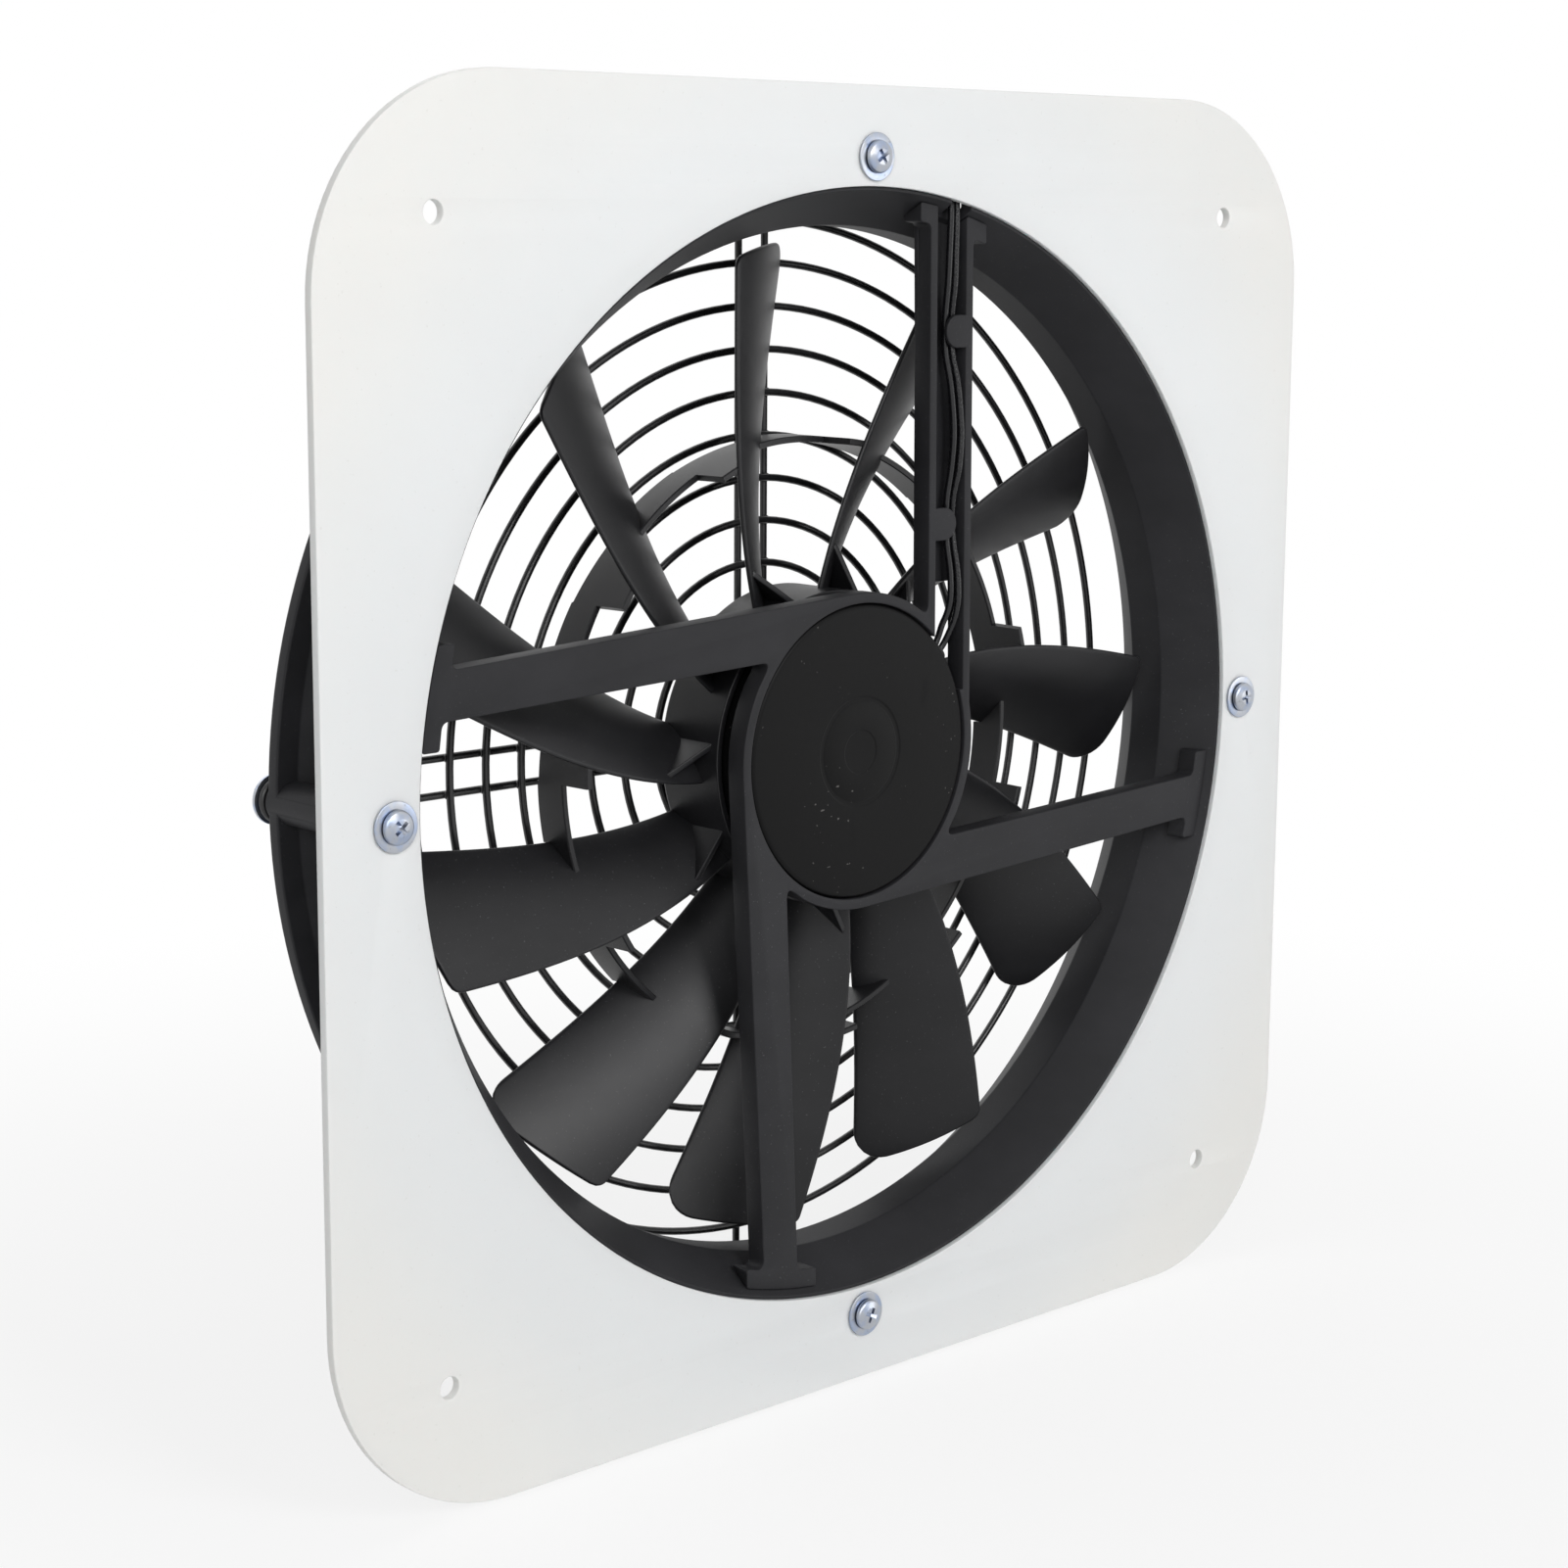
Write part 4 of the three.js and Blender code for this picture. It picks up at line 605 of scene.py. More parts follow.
def sheath(name, gloss):
    """Cable sheath with a soft shine; gloss breaks it into fine grains or leaves it smooth."""
    made = Finish(name, {"IOR": 1.5, "Specular IOR Level": 0.4})
    point = made.place()
    grains = made.noise(1300 if gloss else 500, 2, 0.6, point)
    made.drive(
        Base_Color=made.mix(grains, (0.004, 0.004, 0.005, 1), (0.010, 0.010, 0.012, 1)),
        Roughness=0.20 + 0.12 * grains,
        Normal=made.bump(grains, 0.00022 if gloss else 0.00005, 0.7 if gloss else 0.3))
    return made.material


def finish(name):
    """The material of that name, made the first time it is asked for."""
    known = bpy.data.materials.get(name)
    if known and known.get("fan_finish"):
        return known
    if known:
        known.name = name + "_flat"
    makers = {
        "milky_plastic": milky_plate,
        "black_plastic": lambda: moulded("black_plastic", tint("moulding"), 0.52, 0.22),
        "satin_plastic": lambda: moulded("satin_plastic", scaled(tint("moulding"), 0.6), 0.36, 0.3),
        "black_steel": motor_paint,
        "black_wire": wire_coat,
        "zinc_steel": zinc_plate,
        "bright_steel": lambda: metal("bright_steel", (0.45, 0.46, 0.48, 1), 0.28),
        "ferrite": lambda: matt("ferrite", (0.05, 0.05, 0.052, 1), 0.75),
        "laminated_steel": lambda: layered("laminated_steel", (0.2, 0.2, 0.21, 1), 0.4, 0.5, 0.9),
        "enamel_copper": lambda: layered("enamel_copper", (0.42, 0.16, 0.06, 1), 0.3, 0.6, 0.6),
        "copper": lambda: metal("copper", (0.6, 0.3, 0.16, 1), 0.32),
        "carbon": lambda: matt("carbon", (0.03, 0.03, 0.03, 1), 0.8),
        "brown_resin": lambda: matt("brown_resin", (0.06, 0.03, 0.018, 1), 0.55),
        "lead_sheath": lambda: sheath("lead_sheath", False),
        "grained_sheath": lambda: sheath("grained_sheath", True),
        "soft_rubber": lambda: matt("soft_rubber", (0.010, 0.010, 0.010, 1), 0.7),
        "natural_nylon": lambda: matt("natural_nylon", (0.70, 0.68, 0.60, 1), 0.45, 700, 0.00004),
    }
    made = makers[name]()
    made.name = name
    made["fan_finish"] = True
    return made


# ---- window plate --------------------------------------------------------------------------------
BOLT_CIRCLE = 177
BOLT_HOLE_RADIUS = 2.8
WALL_HOLE = (161.3, 160.1)          # from the plate's middle, across and up
WALL_HOLE_RADIUS = 3.25
PLATE_EDGE = 0.3
HAIR = 0.002                        # keeps the plate inside the size of its solid


class FAN_OT_window_plate(bpy.types.Operator):
    """Milky rounded square plate with its opening, wall holes and bolt holes"""

    bl_idname = "fan.window_plate"
    bl_label = "Window plate"

    def execute(self, context):
        half_x, half_z = size("plate_width") / 2 - HAIR, size("plate_height") / 2 - HAIR
        corner = size("plate_corner")
        cx, cz = half_x - corner, half_z - corner
        rim = []
        for number, centre in enumerate(((cx, cz), (-cx, cz), (-cx, -cz), (cx, -cz))):
            rim += arc(corner, 90 * number, 90 * (number + 1), 24, centre)
        holes = [circle(size("opening_radius"), 256)]
        for sign_x in (-1, 1):
            for sign_z in (-1, 1):
                centre = (sign_x * WALL_HOLE[0], sign_z * WALL_HOLE[1])
                holes.append(circle(WALL_HOLE_RADIUS, 32, centre))
        for quarters in range(4):
            x, _, z = quarter_turn((0, 0, BOLT_CIRCLE), quarters)
            holes.append(circle(BOLT_HOLE_RADIUS, 32, (x, z)))
        front = -size("plate_thickness")
        mesh = flat_piece("window_plate", [rim, *holes], front, 0, PLATE_EDGE)
        put("window_plate", mesh, "milky_plastic", ["mounting_panel"])
        return {"FINISHED"}


# ---- shroud --------------------------------------------------------------------------------------
RIM_FRONT = -1.5
RIM_OUTER = 168.4
RIM_INNER = 167.4
SHOULDER = 172
SHOULDER_BACK = 2.8
THROAT_START = 15
THROAT_END = 27.5
FLARE_RISE = 11.3
FLARE_END = 41
LIP_RISE = 14.3
LIP_FRONT = 43
LIP_BACK = 48
WALL = 2.7
BOSS_RADIUS = 6
PAD_BACK = 49.15                    # seat of the guard on a boss
WEB_HALF = 1.5
NOTCH = ((34.2, -2.5, 153.2), (42.6, 4.6, 176))
CRADLE_LEFT = 32.1
CRADLE_RIGHT = 44.7
CRADLE_FRONT = 14.6
CRADLE_BACK = 26.6
CRADLE_FLOOR_TOP = 165.2
CRADLE_WALL = 1.4
CRADLE_TOP = 170.75


def cone_radius(y):
    """Inside radius of the shroud's inlet at a depth."""
    slope = (RIM_INNER - size("throat_radius")) / (THROAT_START - RIM_FRONT)
    return RIM_INNER - slope * (y - RIM_FRONT)


def shroud_profile():
    throat = size("throat_radius")
    flare = throat + FLARE_RISE
    shift = WALL * 0.77             # the flare's wall, measured along its radius
    fall = 0.84 * shift             # and along its depth
    corners = [
        (RIM_INNER, RIM_FRONT, 0.3), (RIM_OUTER, RIM_FRONT, 0.3), (RIM_OUTER, GAP, 0),
        (SHOULDER, GAP, 0.5), (SHOULDER, SHOULDER_BACK, 0.6),
        (cone_radius(SHOULDER_BACK) + 1.2 * WALL, SHOULDER_BACK, 1.0),
        (throat + WALL, THROAT_START + 1, 4), (throat + WALL, THROAT_END - fall, 4),
        (flare + shift, FLARE_END - fall, 3), (flare + 0.55 * LIP_RISE, LIP_FRONT - 0.6, 2),
        (flare + LIP_RISE, LIP_FRONT, 0.8), (flare + LIP_RISE, LIP_BACK, 1.2),
        (flare + 0.72 * LIP_RISE, 46.46, 3), (flare + 0.36 * LIP_RISE, 44.22, 3),
        (flare, FLARE_END, 3), (throat, THROAT_END, 1.6), (throat, THROAT_START, 1.6),
    ]
    return softened(corners, 6)


def place_quarter(quarters, offset=(0, 0, 0)):
    def place(point):
        moved = tuple(part + shift for part, shift in zip(point, offset))
        return quarter_turn(moved, quarters)
    return place


class FAN_OT_shroud(bpy.types.Operator):
    """Moulded shroud ring with its bolt bosses, webs, connector cradle and lead notch"""

    bl_idname = "fan.shroud"
    bl_label = "Shroud"

    def execute(self, context):
        body = one_shell("shroud_moulding", lambda s: s.turned(shroud_profile(), 224))
        added = []
        cutters = []
        for quarters in range(4):
            place = place_quarter(quarters, (0, 0, BOLT_CIRCLE))
            added.append(one_shell("boss", lambda s: s.turned(self.boss(), 48, place)))
            added.append(one_shell("web", lambda s: self.web(s, quarters)))
            bore = [(0, -2), (BOLT_HOLE_RADIUS, -2), (BOLT_HOLE_RADIUS, 52), (0, 52)]
            cutters.append(one_shell("bore", lambda s: s.turned(bore, 32, place)))
        added.append(one_shell("cradle", self.cradle))
        cutters.append(one_shell("notch", lambda s: s.block(*NOTCH, 0.8)))
        mesh = carved(body, cutters, added)
        put("shroud_moulding", mesh, "black_plastic", ["shroud_ring"])
        return {"FINISHED"}

    @staticmethod
    def boss():
        return softened([
            (0, GAP, 0), (BOSS_RADIUS, GAP, 0), (BOSS_RADIUS + 0.2, PAD_BACK - 1.2, 0.8),
            (BOSS_RADIUS - 0.8, PAD_BACK, 0.5), (0, PAD_BACK, 0)], 3)

    @staticmethod
    def web(shells, quarters):
        """The upright wall between the shroud and a boss, drawn by radius and depth."""
        throat = size("throat_radius")
        outline = [(throat + 1.2, 16), (throat + 1.2, 27), (throat + 10, 38), (176, 43.4),
                   (177, 43.4), (177, 1), (169, 1), (throat + 8, 8)]

        def stand(point):
            radius, across, depth = point[0], point[1], point[2]
            return quarter_turn((across, depth, radius), quarters)
        shells.slab(outline, -WEB_HALF, WEB_HALF, 0.3, stand)

    @staticmethod
    def cradle(shells):
        """Floor, two walls and two legs that hold the leads' connector."""
        floor = CRADLE_FLOOR_TOP
        shells.block((CRADLE_LEFT, CRADLE_FRONT, floor - 1.4), (CRADLE_RIGHT, CRADLE_BACK, floor), 0.2)
        for x in (CRADLE_LEFT, CRADLE_RIGHT - CRADLE_WALL):
            end = x + CRADLE_WALL
            low = x, CRADLE_FRONT + 0.01, floor - 1.2
            shells.block(low, (end, CRADLE_BACK - 0.01, CRADLE_TOP), 0.35)
            leg = math.sqrt(158.2 ** 2 - (x + CRADLE_WALL / 2) ** 2)
            low = x + 0.01, CRADLE_FRONT + 0.2, leg
            shells.block(low, (end - 0.01, CRADLE_BACK - 0.2, floor - 0.3), 0.2)


# ---- motor spider --------------------------------------------------------------------------------
SPIDER_FRONT = 0.4
SPIDER_BACK = 7.4
RING_OUTER = 48.5
RING_BORE = 45.3
ARM_OFFSET = 48.3                   # outer side of an arm, beside the axis
ARM_WIDTH = 15.8
ARM_TAPER = 2 / 162
ARM_SLOPE = math.tan(math.radians(3.3))
CHANNEL_OFFSET = 47.4               # outer side of the channel's far wall, beside the axis
CHANNEL_WIDTH = 18.6
CHANNEL_WALL = 3
CHANNEL_SLOPE = math.tan(math.radians(0.5))
CHANNEL_MOUTH = 15                  # height from which the ring is open between the walls
CHANNEL_FOOT_NEAR = 23
CHANNEL_FOOT_FAR = 51.8
FLOOR_START_RADIUS = 56.5
FLOOR_THICKNESS = 1.5
FOOT_NEAR = 17.5
FOOT_FAR = 46.5
FOOT_RADIUS = 160
FOOT_FILLET = 2.6
RING_FILLET = 6
TAB_RADIUS = 5
TAB_THICKNESS = 1.5


def arm_outer(z):
    return ARM_OFFSET - ARM_SLOPE * z


def arm_inner(z):
    return arm_outer(z) - ARM_WIDTH + ARM_TAPER * z


def channel_side(z, depth=0.0):
    """X of the channel's far wall at a height, a depth in from its outer side."""
    return CHANNEL_OFFSET - depth - CHANNEL_SLOPE * z


def far_wall_inside(z):
    return channel_side(z, CHANNEL_WALL)


def near_wall_inside(z):
    return channel_side(z, CHANNEL_WIDTH - CHANNEL_WALL)


def near_wall_outside(z):
    return channel_side(z, CHANNEL_WIDTH)


def on_circle(radius, x):
    return x, math.sqrt(radius ** 2 - x ** 2)


def side_on_circle(side, radius):
    """Where a near-vertical line x = side(z) crosses a circle."""
    z = radius
    for _ in range(20):
        z = math.sqrt(radius ** 2 - side(z) ** 2)
    return side(z), z


def foot_end(reach, near, far, inner_side):
    """Corners and radii along a foot's end on the cone and back to the side of its arm."""
    corners = []
    for step in range(1, 8):
        corners.append((on_circle(reach, far + (near - far) * step / 8), 0))
    corners += [(on_circle(reach, near), 0.8), (on_circle(FOOT_RADIUS, near), 1.2),
                (side_on_circle(inner_side, FOOT_RADIUS), FOOT_FILLET)]
    return corners


def foot_start(outer_side, reach, far):
    """Corners and radii from the side of an arm out to the far corner of its foot."""
    return [(side_on_circle(outer_side, FOOT_RADIUS), FOOT_FILLET), (on_circle(FOOT_RADIUS, far), 1.2),
            (on_circle(reach, far), 0.8)]


def ring_angle(side):
    """Angle in degrees, past the fillet, at which an arm's side leaves the ring."""
    x, z = side_on_circle(side, RING_OUTER)
    return math.degrees(math.atan2(z, x)) + 10


def turned_corners(corners, quarters):
    done = []
    for (x, z), radius in corners:
        px, _, pz = quarter_turn((x, 0, z), quarters)
        done.append(((px, pz), radius))
    return done


def spider_outline(reach):
    """The whole outline as seen from the front: four arms, ring and the open channel."""
    tail = 10.2                     # height at which the far wall leaves the ring
    corners = [((channel_side(tail), tail), 0), *foot_start(channel_side, reach, CHANNEL_FOOT_FAR)]
    corners.append((side_on_circle(far_wall_inside, reach), 0.8))
    corners.append(((far_wall_inside(CHANNEL_MOUTH), CHANNEL_MOUTH), 0.3))
    bore_start = math.degrees(math.asin(CHANNEL_MOUTH / RING_BORE))
    bore_end = math.degrees(math.acos(near_wall_inside(32) / RING_BORE))
    corners += [(point, 0) for point in arc(RING_BORE, bore_start, bore_end - 360, 150)]
    corners.append((side_on_circle(near_wall_inside, reach), 0.8))
    inside = near_wall_inside(reach)
    for step in (1, 2, 3):
        corners.append((on_circle(reach, inside + (CHANNEL_FOOT_NEAR - inside) * step / 4), 0))
    corners += [(on_circle(reach, CHANNEL_FOOT_NEAR), 0.8),
                (on_circle(FOOT_RADIUS, CHANNEL_FOOT_NEAR), 1.2),
                (side_on_circle(near_wall_outside, FOOT_RADIUS), FOOT_FILLET),
                (side_on_circle(near_wall_outside, RING_OUTER), RING_FILLET)]
    start = ring_angle(near_wall_outside)
    for turns in (1, 2, 3):
        turn = 90 * turns
        first = turn + math.degrees(math.asin(4.4 / RING_OUTER))
        corners += [(point, 0) for point in arc(RING_OUTER, start, first, 10)]
        arm = foot_start(arm_outer, reach, FOOT_FAR) + foot_end(reach, FOOT_NEAR, FOOT_FAR, arm_inner)
        arm.append((side_on_circle(arm_inner, RING_OUTER), RING_FILLET))
        corners += turned_corners(arm, 4 - turns)
        start = turn + ring_angle(arm_inner)
    last = 360 + math.degrees(math.asin(tail / RING_OUTER)) - 1
    corners += [(point, 0) for point in arc(RING_OUTER, start, last, 10)]
    return rounded([corner for corner, _ in corners], [radius for _, radius in corners], 6)


class FAN_OT_spider(bpy.types.Operator):
    """Motor spider: ring, three plain arms and the open wire channel with its two tabs"""

    bl_idname = "fan.spider"
    bl_label = "Motor spider"

    def execute(self, context):
        shells = Shells()
        reach = cone_radius(SPIDER_FRONT) - GAP
        shells.slab(spider_outline(reach), SPIDER_FRONT, SPIDER_BACK, 0.4)
        start = math.sqrt(FLOOR_START_RADIUS ** 2 - (CHANNEL_OFFSET - CHANNEL_WIDTH) ** 2)
        top = 168
        near, far = CHANNEL_WIDTH - 1, 1
        floor = [(channel_side(start, near), start), (channel_side(start, far), start),
                 (channel_side(top, far), top), (channel_side(top, near), top)]
        front = SPIDER_BACK - FLOOR_THICKNESS
        shells.slab(rounded(floor, 0.4), front, SPIDER_BACK - 0.02, 0.2)
        self.tab(shells, channel_side(125.5, far), -10.5, 125.5)
        self.tab(shells, channel_side(67, near), 11, 67)
        shells.points = [self.held_in(point) for point in shells.points]
        put("spider_moulding", shells.mesh("spider_moulding"), "black_plastic", ["motor_spider"])
        return {"FINISHED"}

    @staticmethod
    def tab(shells, root, reach, z):
        """A round-ended tab from a wall of the channel over the leads."""
        way = math.copysign(1, reach)
        centre = root + reach - way * TAB_RADIUS
        tip = [(centre + way * x, z + height) for x, height in arc(TAB_RADIUS, -90, 90, 16)]
        outline = [(root, z - TAB_RADIUS), *tip, (root, z + TAB_RADIUS)]
        shells.slab(outline, SPIDER_FRONT - 0.01, SPIDER_FRONT + TAB_THICKNESS, 0.4)

    @staticmethod
    def held_in(point):
        """Draws the feet's ends in so that they stay inside the shroud's inlet cone."""
        x, y, z = point
        limit = cone_radius(y) - GAP
        reach = cone_radius(SPIDER_FRONT) - GAP
        radius = math.hypot(x, z)
        if radius <= FOOT_RADIUS:
            return point
        squeezed = FOOT_RADIUS + (radius - FOOT_RADIUS) * (limit - FOOT_RADIUS) / (reach - FOOT_RADIUS)
        share = min(limit, squeezed) / radius
        return x * share, y, z * share


# ---- motor ---------------------------------------------------------------------------------------
ENTRY = math.radians(36)
ENTRY_DEPTH = 6.2
SCREW_Z = 30
SCREW_X = math.sqrt(49.5 ** 2 - SCREW_Z ** 2)
SCREWED = (1, 2, 3)                 # quarter turns of the arms that hold the motor
EAR_RADIUS = 5
EAR_FRONT = 7.7
EAR_BACK = 9.7
CAN_FRONT = 0.8
CAN_BACK = 33
CAN_WALL = 1.6
CAN_INSIDE = 2.8
POCKET_RADIUS = 13.5                # the sleeve inside the case that holds the front bearing
POCKET_BORE = 11.3
POCKET_BACK = 10.1


def toward_entry(point):
    """A point of a shape turned about Y, laid down where the leads enter the motor."""
    x, y, z = point
    out, depth, side = y, x + ENTRY_DEPTH, z
    sin, cos = math.sin(ENTRY), math.cos(ENTRY)
    return out * cos - side * sin, depth, out * sin + side * cos


class FAN_OT_motor(bpy.types.Operator):
    """Painted motor case with its shallow face relief, and the ears that hold it"""

    bl_idname = "fan.motor"
    bl_label = "Motor"

    def execute(self, context):
        radius = size("motor_radius")
        inner = radius - CAN_WALL
        corners = [
            (0, 0.95, 0), (6.5, 0.95, 0.4), (6.9, 0.82, 0.4), (15.0, CAN_FRONT, 0), (15.6, 0.98, 0.3),
            (16.6, 0.98, 0.3), (17.2, CAN_FRONT, 0.3), (radius, CAN_FRONT, 1.7), (radius, 12, 0),
            (radius, CAN_BACK, 0.5), (inner, CAN_BACK, 0.3), (inner, CAN_INSIDE, 0.8),
            (POCKET_RADIUS, CAN_INSIDE, 0), (POCKET_RADIUS, POCKET_BACK, 0.3),
            (POCKET_BORE, POCKET_BACK, 0.3), (POCKET_BORE, CAN_INSIDE, 0), (0, CAN_INSIDE, 0),
        ]
        body = one_shell("motor_case", lambda s: s.turned(softened(corners, 5), 144))
        hole = [(0, radius - 8), (3.3, radius - 8), (3.3, radius + 6), (0, radius + 6)]
        entry = one_shell("entry", lambda s: s.turned(hole, 36, toward_entry))
        ears = self.ears(inner + 0.4)
        mesh = carved(body, [entry])
        put("motor_case", mesh, "black_steel", ["motor_can"])
        put("motor_ears", ears, "black_steel")
        return {"FINISHED"}

    @staticmethod
    def ears(root_radius):
        """Three bored ears that stand out from the case behind the arms."""
        away = Vector((SCREW_X, SCREW_Z)).normalized()
        across = EAR_RADIUS * Vector((-away.y, away.x))
        root = away * root_radius
        middle = math.degrees(math.atan2(away.y, away.x))
        tip = arc(EAR_RADIUS, middle - 90, middle + 90, 20, (SCREW_X, SCREW_Z))
        outline = [tuple(root - across), *tip, tuple(root + across)]
        bore = [(0, 6), (2.05, 6), (2.05, 12), (0, 12)]
        ears = Shells()
        cutters = []
        for quarters in SCREWED:
            ears.slab(outline, EAR_FRONT, EAR_BACK, 0.3, place_quarter(quarters))
            place = place_quarter(quarters, (SCREW_X, 0, SCREW_Z))
            cutters.append(one_shell("bore", lambda s: s.turned(bore, 24, place)))
        return carved(ears.mesh("motor_ears"), cutters)


# ---- rotor ---------------------------------------------------------------------------------------
BLADES = 11
BLADE_THICKNESS = 2.2
BLADE_CAMBER = 2
# radius, then lead and trail angle (degrees clockwise of +X from the front) and their depths
STATIONS = ((56, -22.4, -3.5, 19, 37), (105, -12.1, 4.7, 17, 39), (152, -5.1, 9.8, 18.9, 41.9))
BLADE_START = 47.3
TIP_CORNER = 12                     # rounding of a blade's rear tip corner
TIP_LEAD_CORNER = 3
TIP_CHORD = 45.7
TIP_ROUND = 0.9                     # stretch along which the tip's edge is rounded
GUSSET_REACH = 63
GUSSET_ANGLE = -9.7
GUSSET_FRONT = 15
GUSSET_DEEP = 33
GUSSET_THICKNESS = 1.8
HUB_FRONT = 12.3
HUB_BACK = 42
HUB_WALL = 2
HUB_SLOPE = 5                       # the sloped edge at the hub's back
TAIL_BORE = 3.3
BAND_INNER = 92.0
BAND_OUTER = 94.0
BAND_FRONT = 28.7
BAND_STEP_FRONT = 17.3              # the band reaches further forward before each blade
BAND_STEP_ANGLE = -18.1
BAND_STEP_BACK = 39.8
BAND_STEP_END = 3                   # angle behind which the band's rear edge is further back
BAND_BACK = 40.9


def blade_values(radius):
    """Lead angle, trail angle, lead depth and trail depth at a radius."""
    (ra, *a), (rb, *b), (rc, *c) = STATIONS
    wa = (radius - rb) * (radius - rc) / ((ra - rb) * (ra - rc))
    wb = (radius - rc) * (radius - ra) / ((rb - rc) * (rb - ra))
    wc = (radius - ra) * (radius - rb) / ((rc - ra) * (rc - rb))
    return [wa * i + wb * j + wc * k for i, j, k in zip(a, b, c)]


def eased(distance, reach=0.7):
    """Share of the full thickness at a distance from a rounded edge."""
    if distance >= reach:
        return 1.0
    return math.sqrt(max(0.0, 1 - (1 - distance / reach) ** 2))


def blade_point(across, radius, side, to_tip=99.0):
    """A point of the blade; side is -1 on the face towards the room and 1 on the other."""
    lead, trail, lead_y, trail_y = blade_values(radius)
    lead, trail = math.radians(lead), math.radians(trail)
    run = radius * (trail - lead)
    rise = trail_y - lead_y
    chord = math.hypot(run, rise)
    bulge = 4 * BLADE_CAMBER * across * (1 - across)
    slope = 4 * BLADE_CAMBER * (1 - 2 * across) / chord
    thickness = BLADE_THICKNESS * (0.55 + 0.45 * math.sqrt(max(0, math.sin(math.pi * across))))
    thickness *= eased(across * chord) * eased((1 - across) * chord) * eased(to_tip)
    normal = bulge - side * thickness / 2
    along = across * chord + side * slope * thickness / 2
    y = lead_y + (along * rise - normal * run) / chord
    angle = lead + (along * run + normal * rise) / chord / radius
    return radius * math.cos(angle), y, -radius * math.sin(angle)


def corner_drop(radius, into):
    """How far a rounded corner of a radius has dropped, some way into it."""
    return radius - math.sqrt(max(0, radius ** 2 - max(0, into) ** 2))


def blade_tip(across):
    """Tip radius across the blade, with both corners rounded off."""
    along = across * TIP_CHORD
    drop = corner_drop(TIP_CORNER, along - (TIP_CHORD - TIP_CORNER))
    drop += corner_drop(TIP_LEAD_CORNER, TIP_LEAD_CORNER - along)
    return size("tip_radius") - drop


def blade_grid():
    ends = (0, 0.0025, 0.008, 0.016, 0.035)
    middle = [0.035 + 0.93 * step / 22 for step in range(1, 22)]
    acrosses = [*ends, *middle, *(1 - end for end in reversed(ends))]
    points = []
    faces = []
    rows = 30
    edge_rows = (0.75, 0.45, 0.2, 0.06, 0)
    row_count = rows + len(edge_rows)
    for side in (-1, 1):
        for across in acrosses:
            tip = blade_tip(across)
            for row in range(rows):
                radius = BLADE_START + (tip - TIP_ROUND - BLADE_START) * row / (rows - 1)
                points.append(blade_point(across, radius, side, tip - radius))
            for to_tip in edge_rows:
                points.append(blade_point(across, tip - to_tip, side, to_tip))
    columns = len(acrosses)

    def at(side, column, row):
        return side * columns * row_count + column * row_count + row

    for side in (0, 1):
        for column in range(columns - 1):
            for row in range(row_count - 1):
                faces.append((at(side, column, row), at(side, column + 1, row),
                              at(side, column + 1, row + 1), at(side, column, row + 1)))
    for column in range(columns - 1):
        faces.append((at(0, column, 0), at(0, column + 1, 0), at(1, column + 1, 0),
                      at(1, column, 0)))
    return points, faces


def spun(degrees):
    """Turns a point about Y; positive is clockwise as seen from the front."""
    turn = math.radians(degrees)

    def place(point):
        x, y, z = point
        return x * math.cos(turn) + z * math.sin(turn), y, z * math.cos(turn) - x * math.sin(turn)
    return place


def gusset(shells, place):
    """The thin three-cornered rib from a blade's leading edge to the hub."""
    root = math.radians(GUSSET_ANGLE)
    outer = Vector(blade_point(0.05, GUSSET_REACH, 0))
    front = Vector((BLADE_START * math.cos(root), GUSSET_FRONT, -BLADE_START * math.sin(root)))
    deep = Vector((front.x, GUSSET_DEEP, front.z))
    along = (outer - deep).normalized()
    normal = along.cross(front - deep).normalized()
    up = normal.cross(along)
    flat = [((p - deep).dot(along), (p - deep).dot(up)) for p in (outer, front, deep)]
    outline = rounded(flat, [1.2, 0.8, 0.5], 4)

    def lift(point):
        a, depth, b = point
        return place(tuple(deep + along * a + up * b + normal * depth))
    shells.slab(outline, -GUSSET_THICKNESS / 2, GUSSET_THICKNESS / 2, 0.35, lift)


